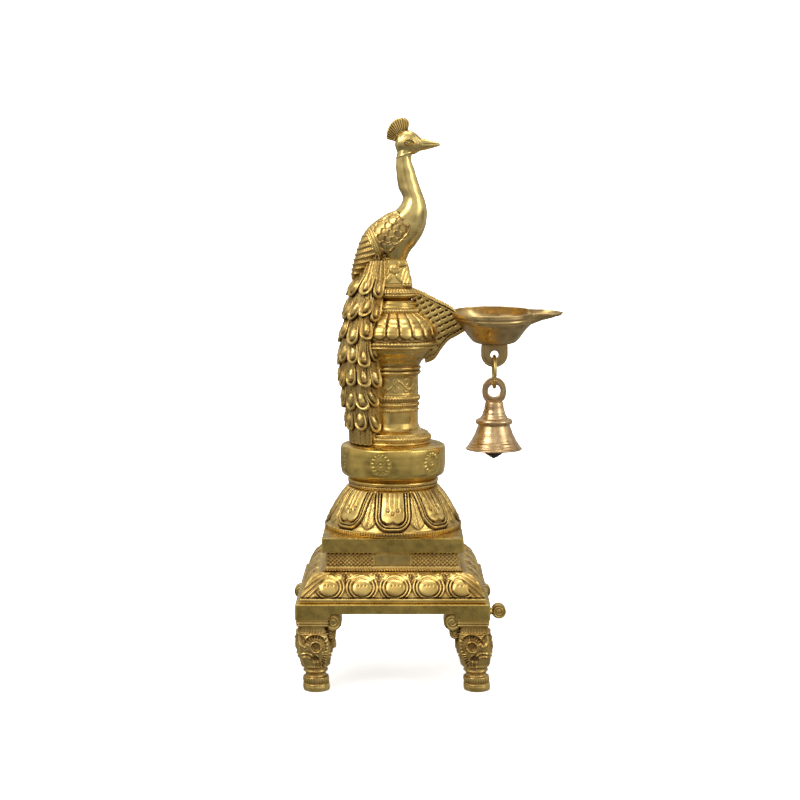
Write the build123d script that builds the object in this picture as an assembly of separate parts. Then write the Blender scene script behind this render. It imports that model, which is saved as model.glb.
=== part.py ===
"""Brass standing oil lamp (samai): a peacock on a tiered pillar, with a stool, a lamp arm and a hanging bell.

Row frame in millimetres: the origin is on the floor, midway between the four feet. +Z is up the pillar,
+X is the way the bird and the lamp bowl face, and the front of the lamp is the -Y side.
"""

from build123d import *
import os

os.makedirs("parts", exist_ok=True)

# ---- Stool -------------------------------------------------------------------------------------------
slab_width = 120.7
slab_thickness = 3.0
apron_depth = 6.2
apron_wall = 5.0
block_width = 21.5
block_drop = 3.8
leg_height = 46.0
foot_radius = 8.3
foot_height = 16.0
leg_pad_height = 4.6
leg_body_width = 22.5
leg_waist_width = 14.8
volute_radius = 5.5
volute_length = 14.0
volute_overhang = 2.0
scroll_radius = 4.6
scroll_centre_y = 28.0
scroll_length = 8.0
# How far each side scroll stands out past the slab, and how far each hand-set foot stands in +X of its block.
scroll_reach = {"front_left": 2.0, "front_right": 11.5, "back_left": 6.0, "back_right": 5.0}
foot_shift = {"front_left": 2.0, "front_right": 3.0, "back_left": 2.0, "back_right": 3.0}
leg_side = {"front_left": (-1, -1), "front_right": (1, -1), "back_left": (-1, 1), "back_right": (1, 1)}
stud_radius = 3.0
stud_length = 7.0

# ---- Square tiers on the stool -----------------------------------------------------------------------
step_width = 115.4
step_height = 3.3
cushion_width = 112.6
cushion_top_width = 92.0
cushion_height = 13.8
cushion_wall = 7.0
bead_course_width = 88.0
bead_course_height = 1.4
lattice_width = 83.5
lattice_height = 10.4
lattice_wall = 6.0
plate_width = 89.0
plate_height = 9.3

# ---- Round tiers: height, then the radii of the outer side from the bottom up ------------------------
dome_height = 26.9
dome_rim_radius = 44.6
dome_rim_height = 5.0
dome_top_radius = 29.8
dome_core_radius = 23.0
collar_height = 6.1
collar_radius = 29.6
collar_core_radius = 12.0
belly_height = 22.0
belly_radius = 34.2
belly_neck_radius = 27.7
belly_core_radius = 20.0
pillar_foot_radius = 25.0
pillar_foot_height = 6.4
pillar_cove_height = 4.2
shaft_radius = 16.4
shaft_height = 11.0
pearl_radius = 17.5
pearl_height = 9.5
engraved_radius = 16.6
engraved_height = 12.8
groove_radius = 18.0
groove_height = 6.0
capital_radius = 24.6
capital_height = 10.9
pillar_core_radius = 8.0
petal_rim_radius = 29.4
petal_rim_height = 7.4
petal_height = 22.6
petal_core_radius = 10.0
bead_collar_height = 8.0
bead_collar_radius = 17.6
bead_collar_top_radius = 14.5
disc_radius = 15.6
disc_height = 8.9
disc_neck_radius = 12.0

# ---- Bird --------------------------------------------------------------------------------------------
plinth_width = 23.5
plinth_top_width = 15.4
plinth_height = 17.0
plinth_offset = 1.5
bird_height = 89.5
throat_share = 0.72
head_share = 0.815
head_x = 10.0
body_half_width = 13.6
neck_half_width = 6.0
head_length = 17.0
head_radius = 7.0
beak_length = 14.5
beak_radius = 3.9
crest_thickness = 2.8
wing_gap = 0.4
wing_half_width = 14.6

# ---- Train -------------------------------------------------------------------------------------------
train_half_angle = 62.0
train_thickness = 7.0
train_gap = 0.15

# ---- Lamp arm, bowl and lug --------------------------------------------------------------------------
arm_width = 11.0
bowl_centre_x = 65.2
bowl_radius = 25.5
bowl_foot_radius = 9.0
bowl_depth = 21.4
bowl_wall = 1.8
bowl_rim_fall = 3.4
spout_length = 44.0
spout_width = 25.0
spout_wall = 1.6
rim_above_petals = 23.7
lug_width = 17.3
lug_thickness = 2.6
lug_hole_radius = 2.5
lug_drop = 6.9
lug_edge = 5.7

# ---- Ring, bell and clapper --------------------------------------------------------------------------
ring_radius = 10.0
ring_wire_radius = 1.15
ring_split = 6.0
hanging_gap = 0.45
loop_width = 15.6
loop_thickness = 3.2
loop_hole_radius = 3.95
loop_edge = 4.9
loop_neck = 2.9
bell_height = 31.3
bell_radius = 18.4
bell_crown_radius = 5.8
bell_waist_radius = 10.2
bell_ring_radius = 12.0
bell_wall = 2.0
hanger_radius = 2.6
hanger_wire_radius = 0.8
hanger_drop = 5.6
eye_gap = 0.3
clapper_rod_radius = 0.9
clapper_radius = 7.2
clapper_length = 25.0
clapper_tip_radius = 0.4

# ---- Tie rod -----------------------------------------------------------------------------------------
rod_radius = 3.0
rod_clearance = 0.2
rod_engagement = 10.0
rod_tail = 2.0
nut_width = 10.0
nut_height = 4.2
washer_radius = 8.0
washer_height = 1.2

# ---- Levels of the stack, from the floor up ----------------------------------------------------------
block_bottom = leg_height
apron_bottom = block_bottom + block_drop
slab_top = apron_bottom + apron_depth
step_top = slab_top + step_height
cushion_top = step_top + cushion_height
bead_course_top = cushion_top + bead_course_height
lattice_top = bead_course_top + lattice_height
plate_top = lattice_top + plate_height
dome_top = plate_top + dome_height
collar_top = dome_top + collar_height
belly_top = collar_top + belly_height
foot_top = belly_top + pillar_foot_height
shaft_bottom = foot_top + pillar_cove_height
pearl_bottom = shaft_bottom + shaft_height
engraved_bottom = pearl_bottom + pearl_height
groove_bottom = engraved_bottom + engraved_height
capital_bottom = groove_bottom + groove_height
pillar_top = capital_bottom + capital_height
petal_top = pillar_top + petal_height
bead_collar_top = petal_top + bead_collar_height
disc_top = bead_collar_top + disc_height
plinth_top = disc_top + plinth_height
rim_level = pillar_top + rim_above_petals
leg_centre = slab_width / 2 - block_width / 2
rod_hole_radius = rod_radius + rod_clearance

# ---- Where the hanging pieces are --------------------------------------------------------------------
bowl_bottom = rim_level - bowl_depth
lug_hole_z = bowl_bottom - lug_drop
ring_top_z = lug_hole_z - (lug_hole_radius - ring_wire_radius - hanging_gap)
ring_centre_z = ring_top_z - ring_radius
ring_bottom_z = ring_centre_z - ring_radius
loop_hole_z = ring_bottom_z - (loop_hole_radius - ring_wire_radius - hanging_gap)
bell_top = loop_hole_z - loop_hole_radius - loop_neck
bell_lip = bell_top - bell_height
hanger_z = bell_top - bell_height * 0.22 - hanger_drop


def face_of(*curves):
    """A flat face from curves that meet end to end."""
    edges = [edge for curve in curves for edge in curve.edges()]
    return make_face(edges)


def turned(side, core_radius):
    """A solid turned about the pillar axis from the curve of its outer side, bored through at core_radius."""
    low = side @ 0
    high = side @ 1
    back = Polyline(high, (core_radius, 0, high.Z), (core_radius, 0, low.Z), low)
    return revolve(face_of(side, back), Axis.Z)


def side_curve(*points):
    """A smooth curve in the XZ plane through (radius, height) points."""
    return Spline([(radius, 0, height) for radius, height in points])


def square_block(width, height, bottom):
    """A square block on the pillar axis."""
    return Pos(0, 0, bottom) * Box(width, width, height, align=(Align.CENTER, Align.CENTER, Align.MIN))


def cylinder_at(radius, height, x, y, bottom):
    """An upright cylinder."""
    return Pos(x, y, bottom) * Cylinder(radius, height, align=(Align.CENTER, Align.CENTER, Align.MIN))


def plate_xz(face, thickness, y=0.0):
    """A flat face in the XZ plane thickened evenly about the plane at y."""
    return Pos(0, y, 0) * extrude(face, thickness / 2, dir=(0, 1, 0), both=True)


def rod_hole(bottom, top):
    """The clearance hole for the tie rod."""
    return cylinder_at(rod_hole_radius, top - bottom, 0, 0, bottom)


# ---- Stool -------------------------------------------------------------------------------------------
def make_leg(name):
    """One cast leg: pad, carved body, round foot, two volutes, an outer scroll and the stud above the pad."""
    side_x, side_y = leg_side[name]
    x = side_x * leg_centre
    y = side_y * leg_centre
    shift = foot_shift[name]
    pad_bottom = block_bottom - leg_pad_height
    neck_width = block_width - 3.0
    levels = [
        (foot_height, leg_waist_width, shift * 0.65),
        (pad_bottom * 0.56, leg_waist_width + 3.2, shift * 0.5),
        (pad_bottom * 0.76, leg_body_width, shift * 0.25),
        (pad_bottom, neck_width, 0.0),
    ]
    sections = [Pos(x + dx, y, z) * RectangleRounded(width, width, width * 0.3) for z, width, dx in levels]
    body = loft(sections, ruled=True)
    pad_width = block_width - 1.0
    pad = Pos(x, y, pad_bottom) * extrude(RectangleRounded(pad_width, pad_width, 2), leg_pad_height)
    foot_low = Pos(x + shift, y, 0) * Circle(foot_radius)
    foot_high = Pos(x + shift * 0.65, y, foot_height) * Circle(leg_waist_width / 2)
    foot = loft([foot_low, foot_high], ruled=True)
    inner = leg_centre - block_width / 2 - volute_overhang
    volute_z = apron_bottom - volute_radius + rod_clearance
    front = leg_centre + block_width / 2 - volute_overhang - volute_length / 2
    volute = Cylinder(volute_radius, volute_length)
    volute_x = Pos(side_x * inner, side_y * front, volute_z) * Rot(90, 0, 0) * volute
    volute_y = Pos(side_x * front, side_y * inner, volute_z) * Rot(0, 90, 0) * volute
    stud = cylinder_at(stud_radius, stud_length, x, y, block_bottom)
    leg = body + pad + foot + volute_x + volute_y + make_scroll(name, inner, volute_z) + stud
    return leg - stool_frame_space()


def make_scroll(name, volute_y, z):
    """The outer scroll of one leg: a disc that looks out past the slab, on a bar from the leg's volute."""
    side_x, side_y = leg_side[name]
    disc_x = slab_width / 2 + scroll_reach[name] - scroll_radius
    disc = Rot(90, 0, 0) * Cylinder(scroll_radius, scroll_length)
    bar_start = slab_width / 2 - volute_length
    bar_length = disc_x - bar_start
    bar_y = (scroll_centre_y + volute_y) / 2
    bar_width = volute_y - scroll_centre_y + scroll_radius
    bar_x = bar_start + bar_length / 2
    bar = Pos(side_x * bar_x, side_y * bar_y, z) * Box(bar_length, bar_width, scroll_radius)
    return Pos(side_x * disc_x, side_y * scroll_centre_y, z) * disc + bar


def stool_frame_space():
    """The space of the stool frame's apron and corner blocks, kept clear of the legs' volutes and scrolls."""
    apron = square_block(slab_width * 1.5, block_drop + apron_depth, apron_bottom)
    blocks = [
        Pos(sx * leg_centre, sy * leg_centre, block_bottom)
        * Box(block_width, block_width, block_drop, align=(Align.CENTER, Align.CENTER, Align.MIN))
        for sx, sy in leg_side.values()
    ]
    studs = [
        cylinder_at(stud_radius, stud_length, sx * leg_centre, sy * leg_centre, block_bottom)
        for sx, sy in leg_side.values()
    ]
    return apron + blocks - studs


def make_stool_frame():
    """The slab with its apron, open below, and the four corner blocks that the leg studs screw into."""
    slab = square_block(slab_width, slab_thickness, slab_top - slab_thickness)
    apron = square_block(slab_width, apron_depth - slab_thickness, apron_bottom)
    apron -= square_block(slab_width - 2 * apron_wall, apron_depth - slab_thickness, apron_bottom)
    frame = slab + apron
    block_height = slab_top - slab_thickness - block_bottom
    for side_x, side_y in leg_side.values():
        x = side_x * leg_centre
        y = side_y * leg_centre
        block = Box(block_width, block_width, block_height, align=(Align.CENTER, Align.CENTER, Align.MIN))
        frame += Pos(x, y, block_bottom) * block
        frame -= cylinder_at(stud_radius + rod_clearance, stud_length + rod_clearance, x, y, block_bottom)
    return frame - rod_hole(apron_bottom, slab_top)


# ---- Square tiers ------------------------------------------------------------------------------------
def make_carved_cushion():
    """The cushion moulding on its plain step, mitred at the corners and hollow below."""
    low = cushion_width / 2
    high = cushion_top_width / 2
    middle = (high + 0.62 * (low - high), 0, step_top + 0.72 * cushion_height)
    swell = ThreePointArc((low, 0, step_top), middle, (high, 0, cushion_top))
    half = face_of(Polyline((0, 0, cushion_top), (0, 0, step_top), (low, 0, step_top)), swell,
                   Line((high, 0, cushion_top), (0, 0, cushion_top)))
    profile = half + mirror(half, Plane.YZ)
    along_y = plate_xz(profile, 2 * slab_width)
    cushion = along_y & (Rot(0, 0, 90) * along_y)
    cushion += square_block(step_width, step_height, slab_top)
    cavity = cushion_top - cushion_wall - slab_top
    cushion -= square_block(cushion_top_width - 2 * cushion_wall, cavity, slab_top)
    return cushion - rod_hole(slab_top, cushion_top)


def make_lattice_plinth():
    """The straight plinth of lattice panels, with the bead course at its foot."""
    plinth = square_block(bead_course_width, bead_course_height, cushion_top)
    plinth += square_block(lattice_width, lattice_height, bead_course_top)
    return plinth - square_block(lattice_width - 2 * lattice_wall, plate_top - cushion_top, cushion_top)


def make_top_plate():
    """The plain square plate that the round tiers stand on."""
    return square_block(plate_width, plate_height, lattice_top) - rod_hole(lattice_top, plate_top)


# ---- Round tiers -------------------------------------------------------------------------------------
def make_lotus_dome():
    """The lotus dome with its upright milled rim."""
    rim_top = plate_top + dome_rim_height
    swell = dome_top_radius + 0.62 * (dome_rim_radius - dome_top_radius)
    rim = Line((dome_rim_radius, 0, plate_top), (dome_rim_radius, 0, rim_top))
    middle = (swell, 0, rim_top + 0.5 * (dome_top - rim_top))
    dome = ThreePointArc((dome_rim_radius, 0, rim_top), middle, (dome_top_radius, 0, dome_top))
    return turned(Curve() + [rim, dome], dome_core_radius)


def make_lotus_collar():
    """The rounded collar between the lotus dome and the belly."""
    widest = (collar_radius, 0, dome_top + 0.38 * collar_height)
    side = ThreePointArc((dome_top_radius - 1.6, 0, dome_top), widest, (belly_neck_radius, 0, collar_top))
    return turned(side, collar_core_radius)


def make_belly_band():
    """The polished belly with its punched rosettes."""
    shoulder = belly_radius - 3.0
    points = [
        (belly_neck_radius, collar_top),
        (belly_radius - 1.2, collar_top + 0.2 * belly_height),
        (belly_radius, collar_top + 0.55 * belly_height),
        (belly_radius - 0.9, collar_top + 0.82 * belly_height),
        (shoulder, belly_top),
    ]
    return turned(side_curve(*points), belly_core_radius)


def make_pillar():
    """The pillar: beaded foot, polished shaft, pearl ring, engraved band, grooved rings and capital."""
    bead = ThreePointArc((pillar_foot_radius - 1, 0, belly_top), (pillar_foot_radius, 0, belly_top + 3.2),
                         (pillar_foot_radius - 2, 0, foot_top))
    cove = ThreePointArc((pillar_foot_radius - 2, 0, foot_top), (shaft_radius + 2.2, 0, foot_top + 1.4),
                         (shaft_radius, 0, shaft_bottom))
    steps = [
        (shaft_radius, shaft_bottom, pearl_bottom),
        (pearl_radius, pearl_bottom, engraved_bottom),
        (engraved_radius, engraved_bottom, groove_bottom),
        (groove_radius, groove_bottom, capital_bottom),
    ]
    stem = Polyline([(radius, 0, z) for radius, low, high in steps for z in (low, high)])
    middle = (0.35 * groove_radius + 0.65 * capital_radius, 0, capital_bottom + 0.55 * capital_height)
    flare = ThreePointArc((groove_radius, 0, capital_bottom), middle, (capital_radius, 0, pillar_top))
    return turned(Curve() + [bead, cove, stem, flare], pillar_core_radius)


def make_petal_dome():
    """The ribbed dome of petals with its rim moulding."""
    rim_top = pillar_top + petal_rim_height
    rim = Polyline((petal_rim_radius - 0.8, 0, pillar_top), (petal_rim_radius, 0, pillar_top + 2.0),
                   (petal_rim_radius, 0, rim_top))
    middle = (bead_collar_radius + 0.72 * (petal_rim_radius - bead_collar_radius), 0,
              rim_top + 0.56 * (petal_top - rim_top))
    dome = ThreePointArc((petal_rim_radius, 0, rim_top), middle, (bead_collar_radius, 0, petal_top))
    return turned(Curve() + [rim, dome], petal_core_radius)


def make_bead_collar():
    """The collar with its row of pearls, between the petal dome and the notched disc."""
    bead_height = 2.4
    bead_top = petal_top + bead_height
    bead_low = (bead_collar_radius - 0.8, 0, petal_top)
    bead_middle = (bead_collar_radius, 0, petal_top + bead_height / 2)
    bead_high = (bead_collar_radius - 0.8, 0, bead_top)
    bead = ThreePointArc(bead_low, bead_middle, bead_high)
    slope = Line(bead_high, (bead_collar_top_radius, 0, bead_collar_top))
    return turned(Curve() + [bead, slope], rod_hole_radius)


def make_notched_disc():
    """The rounded disc with upright notches round its edge."""
    middle = (disc_radius, 0, bead_collar_top + disc_height / 2)
    side = ThreePointArc((disc_neck_radius, 0, bead_collar_top), middle, (disc_neck_radius, 0, disc_top))
    return turned(side, rod_hole_radius)


# ---- Bird --------------------------------------------------------------------------------------------
def body_levels():
    """The bird's level sections up to its throat: share of its height, back, breast and half width."""
    return [
        (0.0, -7.5, 9.0, 7.0),
        (0.058, -13.0, 11.4, 10.6),
        (0.115, -16.5, 15.6, body_half_width - 0.8),
        (0.172, -16.0, 18.8, body_half_width),
        (0.263, -10.0, 21.6, body_half_width - 0.8),
        (0.341, 0.5, 22.0, 11.0),
        (0.419, 5.9, 20.6, neck_half_width + 2.4),
        (0.508, 3.1, 17.6, neck_half_width + 1.0),
        (0.62, 1.7, 14.4, neck_half_width),
        (throat_share, 1.9, 11.8, neck_half_width - 0.6),
        (head_share - 0.03, 3.2, 14.8, neck_half_width - 0.8),
    ]


def bird_loft(growth=0.0):
    """The bird's body and neck as one smooth loft, with each section grown outwards by growth."""
    sections = []
    for share, back, breast, half_width in body_levels():
        ellipse = Ellipse((breast - back) / 2 + growth, half_width + growth)
        sections.append(Pos((breast + back) / 2, 0, plinth_top + share * bird_height) * ellipse)
    return loft(sections)


def make_bird_plinth():
    """The tapered block under the bird, with the blind hole that the tie rod screws into."""
    low = Pos(plinth_offset, 0, disc_top) * Rectangle(plinth_width, plinth_width)
    high = Pos(plinth_offset, 0, plinth_top) * Rectangle(plinth_top_width, plinth_top_width)
    return loft([low, high]) - rod_hole(disc_top, disc_top + rod_engagement + rod_clearance)


def make_peacock_body():
    """The bird's body, neck, head and beak, cast in one."""
    head_z = plinth_top + head_share * bird_height
    rear = (head_x - head_length / 2, 0, head_z)
    front = (head_x + head_length / 2, 0, head_z)
    skull = ThreePointArc(rear, (head_x, 0, head_z + head_radius), front)
    head = revolve(face_of(skull, Line(front, rear)), Axis((head_x, 0, head_z), (1, 0, 0)))
    beak_x = head_x + head_length / 2 - 2.5
    beak = Rot(0, 90, 0) * Cone(beak_radius, 0.6, beak_length)
    beak = Pos(beak_x + beak_length / 2, 0, head_z + 1.4) * beak
    return bird_loft() + head + beak


def make_crest(body):
    """The ribbed fan crest, standing on the back of the head."""
    head_z = plinth_top + head_share * bird_height
    rear = (head_x - 14.8, 0, head_z + 2.2)
    top = (head_x - 3.6, 0, plinth_top + bird_height)
    front = (head_x + 0.1, 0, plinth_top + bird_height - 1.5)
    arc = ThreePointArc(rear, (head_x - 11.8, 0, head_z + 10.8), top)
    base = Polyline(top, front, (head_x + 0.4, 0, head_z + 4.0), (head_x - 5.0, 0, head_z), rear)
    return plate_xz(face_of(arc, base), crest_thickness) - body


def make_wing(side_y, body):
    """One folded wing, from the shoulder to the tip, lying on the body and closed over the back."""
    points = [(7.6, 0.335), (-0.5, 0.341), (-9.9, 0.285), (-15.6, 0.229), (-19.4, 0.173), (-23.2, 0.058),
              (-25.8, -0.056), (-26.4, -0.15)]
    rim = Spline([(x, 0, plinth_top + share * bird_height) for x, share in points])
    lower = [(-26.4, -0.15), (-15.6, -0.07), (-4.1, 0.029), (11.1, 0.172), (11.8, 0.24), (7.6, 0.335)]
    edge = Polyline([(x, 0, plinth_top + share * bird_height) for x, share in lower])
    blank = plate_xz(face_of(rim, edge), 4 * wing_half_width)
    low = plinth_top - bird_height
    tip = (-27.5, 3.5, low)
    shoulder = (6.0, wing_half_width - 1.0, low)
    outer = ThreePointArc(tip, (-8.0, wing_half_width - 1.2, low), shoulder)
    front_x = 13.0
    front = [shoulder, (front_x, wing_half_width - 4.0, low), (front_x, wing_gap / 2, low)]
    plan = face_of(outer, Polyline(front + [(tip[0], wing_gap / 2, low), tip]))
    wing = blank & extrude(plan, 2 * bird_height, dir=(0, 0, 1))
    if side_y < 0:
        wing = mirror(wing, Plane.XZ)
    wing = wing - body - make_bird_plinth()
    return max(wing.solids(), key=lambda solid: solid.volume)


# ---- Train -------------------------------------------------------------------------------------------
def train_line():
    """The inner line of the train down the back of the tiers: (radius, height) points clear of every tier."""
    gap = train_gap
    return [
        (plinth_top_width / 2, plinth_top - gap),
        (plinth_top_width / 2, disc_top + gap),
        (disc_radius + gap, disc_top + gap),
        (disc_radius + gap, bead_collar_top),
        (bead_collar_radius + gap, petal_top + 2.0),
        (petal_rim_radius + gap, petal_top - 0.45 * petal_height),
        (petal_rim_radius + gap, pillar_top),
        (capital_radius - 1.0, pillar_top - gap),
        (groove_radius + 1.0 + gap, capital_bottom),
        (pearl_radius + 0.6, engraved_bottom),
        (pearl_radius + gap, shaft_bottom + 2.0),
        (pillar_foot_radius + gap, foot_top - 1.0),
        (pillar_foot_radius + gap, belly_top + gap),
    ]


def make_train(tiers):
    """The train of tail feathers that wraps the back of the pillar, from under the wings to the belly."""
    inner = train_line()
    top_radius, top_z = inner[0]
    low_radius, low_z = inner[-1]
    points = [
        (low_radius + 0.8 * train_thickness, low_z),
        (low_radius + 0.7 * train_thickness, foot_top + 3),
        (petal_rim_radius + 0.8 * train_thickness, engraved_bottom + 3),
        (petal_rim_radius + train_thickness, capital_bottom),
        (petal_rim_radius + 0.8 * train_thickness, pillar_top + 0.3 * petal_height),
        (disc_radius + 2.0 * train_thickness, disc_top),
        (disc_radius + 0.7 * train_thickness, top_z),
    ]
    outer = side_curve(*points)
    line = Polyline([(radius, 0, height) for radius, height in inner])
    start = outer @ 0
    end = outer @ 1
    face = face_of(outer, Line(end, (top_radius, 0, top_z)), line, Line((low_radius, 0, low_z), start))
    blank = revolve(face, Axis.Z, 2 * train_half_angle)
    train = Rot(0, 0, 180 - train_half_angle) * blank
    for tier in tiers:
        train -= tier
    return max(train.solids(), key=lambda solid: solid.volume)


# ---- Lamp arm, bowl and lug --------------------------------------------------------------------------
def make_lamp_arm(neighbours):
    """The bracket from the pillar's tiers out to the bowl."""
    reach = bowl_centre_x - bowl_radius
    top = ThreePointArc((disc_neck_radius, 0, disc_top), (reach * 0.72, 0, rim_level + 7.2),
                        (reach + 1.5, 0, rim_level + 0.8))
    tuck = (reach + 8.0, 0, rim_level - 13.4)
    end = Line((reach + 1.5, 0, rim_level + 0.8), tuck)
    lower = ThreePointArc(tuck, (reach - 4.5, 0, pillar_top + 4.4), (groove_radius + 2.5, 0, capital_bottom))
    back = Polyline((groove_radius + 2.5, 0, capital_bottom), (groove_radius - 1.0, 0, capital_bottom),
                    (disc_neck_radius, 0, disc_top))
    arm = plate_xz(face_of(top, end, lower, back), arm_width)
    for neighbour in neighbours:
        arm -= neighbour
    return max(arm.solids(), key=lambda solid: solid.volume)


def bowl_side(inset):
    """The bowl's side from the foot to above the rim, as (radius, height) points, inset from its outside."""
    return [
        (bowl_foot_radius - 0.5 * inset, bowl_bottom + inset),
        (0.56 * bowl_radius - 0.6 * inset, bowl_bottom + 2.2 + 0.7 * inset),
        (0.79 * bowl_radius - 0.8 * inset, bowl_bottom + 0.43 * bowl_depth + 0.5 * inset),
        (bowl_radius - 1.8 - inset, bowl_bottom + 0.66 * bowl_depth),
        (bowl_radius - inset, bowl_bottom + 0.85 * bowl_depth),
        (bowl_radius - inset, rim_level + bowl_rim_fall),
    ]


def bowl_blank(inset):
    """The filled shape of the bowl about its own axis, inset from its outer surface."""
    points = [(radius, 0, height) for radius, height in bowl_side(inset)]
    side = Curve() + [Spline(points[:-1]), Line(points[-2], points[-1])]
    lid = Polyline(points[-1], (0, 0, points[-1][2]), (0, 0, points[0][2]), points[0])
    return Pos(bowl_centre_x, 0, 0) * revolve(face_of(side, lid), Axis.Z)


def spout_blank(inset):
    """The filled shape of the spout, inset from its outer surface."""
    stations = [
        (0.40, 1.0, 12.5),
        (0.66, 0.92, 7.0),
        (0.84, 0.62, 4.6),
        (1.0, 0.12, 2.2),
    ]
    top = rim_level + bowl_rim_fall
    sections = []
    for share, width_share, depth in stations:
        x = bowl_centre_x + share * spout_length - inset * (share == 1.0)
        half = max(width_share * spout_width / 2 - inset, 0.4)
        floor = rim_level - depth + inset
        edge = rim_level - 0.3 * depth
        arc = ThreePointArc((x, -half, edge), (x, 0, floor), (x, half, edge))
        lid = Polyline((x, half, edge), (x, half, top), (x, -half, top), (x, -half, edge))
        sections.append(face_of(arc, lid))
    return loft(sections, ruled=True)


def make_diya_bowl():
    """The lamp bowl with its pouring spout and the lug below it; its rim falls a little to the front."""
    shell = bowl_blank(0) + spout_blank(0) - bowl_blank(bowl_wall) - spout_blank(spout_wall)
    fall = bowl_rim_fall / (2 * bowl_radius)
    reach = 2 * spout_length
    low_front = (0, -reach, rim_level - reach * fall)
    low_back = (0, reach, rim_level + reach * fall)
    sky = [(0, reach, rim_level + reach), (0, -reach, rim_level + reach)]
    above_rim = Polyline([low_front, low_back] + sky + [low_front])
    shell -= extrude(face_of(above_rim), reach + bowl_centre_x, dir=(1, 0, 0))
    half = lug_width / 2
    neck_z = lug_hole_z + 1.5
    tip = (bowl_centre_x, 0, lug_hole_z - lug_hole_radius - lug_edge)
    bow = ThreePointArc((bowl_centre_x - half, 0, neck_z), tip, (bowl_centre_x + half, 0, neck_z))
    left = bowl_centre_x - half
    right = bowl_centre_x + half
    root_z = bowl_bottom + bowl_wall * 0.6
    body = Polyline((right, 0, neck_z), (right, 0, root_z), (left, 0, root_z), (left, 0, neck_z))
    lug = plate_xz(face_of(bow, body), lug_thickness)
    hole = Pos(bowl_centre_x, 0, lug_hole_z) * Rot(90, 0, 0) * Cylinder(lug_hole_radius, 3 * lug_thickness)
    return shell + lug - hole


# ---- Ring, bell and clapper --------------------------------------------------------------------------
def make_bell_ring():
    """The split wire ring that joins the lug and the bell's loop."""
    place = Pos(bowl_centre_x, 0, ring_centre_z) * Rot(0, 90, 0) * Rot(0, 0, 120)
    return place * Torus(ring_radius, ring_wire_radius, major_angle=360 - ring_split)


def make_bell():
    """The cast bell: flared skirt, ring moulding, crown and flat loop."""
    ring_z = bell_top - 0.38 * bell_height
    crown_foot = (bell_crown_radius + 3.0, 0, ring_z + 1.6)
    crown_middle = (bell_crown_radius + 1.0, 0, bell_top - 0.16 * bell_height)
    crown = ThreePointArc((bell_crown_radius, 0, bell_top), crown_middle, crown_foot)
    waist = (bell_waist_radius, 0, ring_z - 2.4)
    bead = [(bell_ring_radius - 0.6, 0, ring_z + 1.4), (bell_ring_radius, 0, ring_z)]
    moulding = Polyline([crown_foot] + bead + [(bell_ring_radius - 0.8, 0, ring_z - 1.6), waist])
    middle = (bell_waist_radius + 0.42 * (bell_radius - bell_waist_radius), 0, bell_lip + 0.27 * bell_height)
    edge = (bell_radius, 0, bell_lip + 0.8)
    mouth = (bell_radius - bell_wall, 0, bell_lip)
    skirt = ThreePointArc(waist, middle, edge)
    lip = Polyline(edge, (bell_radius - 0.4, 0, bell_lip), mouth)
    inner_middle = (middle[0] - bell_wall, 0, middle[2])
    inner_waist = (bell_waist_radius - bell_wall, 0, ring_z - 2.4)
    inside = ThreePointArc(mouth, inner_middle, inner_waist)
    core = [(0, 0, bell_roof()), (0, 0, bell_top), (bell_crown_radius, 0, bell_top)]
    roof = Polyline([inner_waist, (bell_crown_radius - 0.6, 0, bell_roof())] + core)
    bell = Pos(bowl_centre_x, 0, 0) * revolve(face_of(crown, moulding, skirt, lip, inside, roof), Axis.Z)
    return bell + make_loop()


def bell_roof():
    """The height of the flat inside top of the bell."""
    return bell_top - 0.22 * bell_height


def make_loop():
    """The flat rounded loop on the crown, with the hole that the ring passes through."""
    base_z = bell_top - 0.6
    loop_top = loop_hole_z + loop_hole_radius + loop_edge
    half = loop_width / 2
    left = bowl_centre_x - half
    right = bowl_centre_x + half
    foot = bell_crown_radius - 0.4
    arch = ThreePointArc((left, 0, loop_hole_z), (bowl_centre_x, 0, loop_top), (right, 0, loop_hole_z))
    base = [(bowl_centre_x + foot, 0, base_z), (bowl_centre_x - foot, 0, base_z)]
    waist = Polyline([(right, 0, loop_hole_z)] + base + [(left, 0, loop_hole_z)])
    hole = Pos(bowl_centre_x, 0, loop_hole_z) * Rot(90, 0, 0) * Cylinder(loop_hole_radius, 3 * loop_thickness)
    return plate_xz(face_of(arch, waist), loop_thickness) - hole


def make_clapper_hanger():
    """The wire staple under the bell's roof that the clapper hangs on."""
    bow_z = bell_roof() - hanger_drop + hanger_radius
    path_bow = ThreePointArc((bowl_centre_x, hanger_radius, bow_z), (bowl_centre_x, 0, bow_z - hanger_radius),
                             (bowl_centre_x, -hanger_radius, bow_z))
    bow = sweep(Plane(origin=path_bow @ 0, z_dir=path_bow % 0) * Circle(hanger_wire_radius), path_bow)
    leg_length = bell_roof() - bow_z
    sides = (hanger_radius, -hanger_radius)
    legs = [cylinder_at(hanger_wire_radius, leg_length, bowl_centre_x, y, bow_z) for y in sides]
    return bow + legs


def clapper_pivot_z():
    """The height of the staple's lowest wire centre, which the clapper swings about."""
    return bell_roof() - hanger_drop


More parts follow.
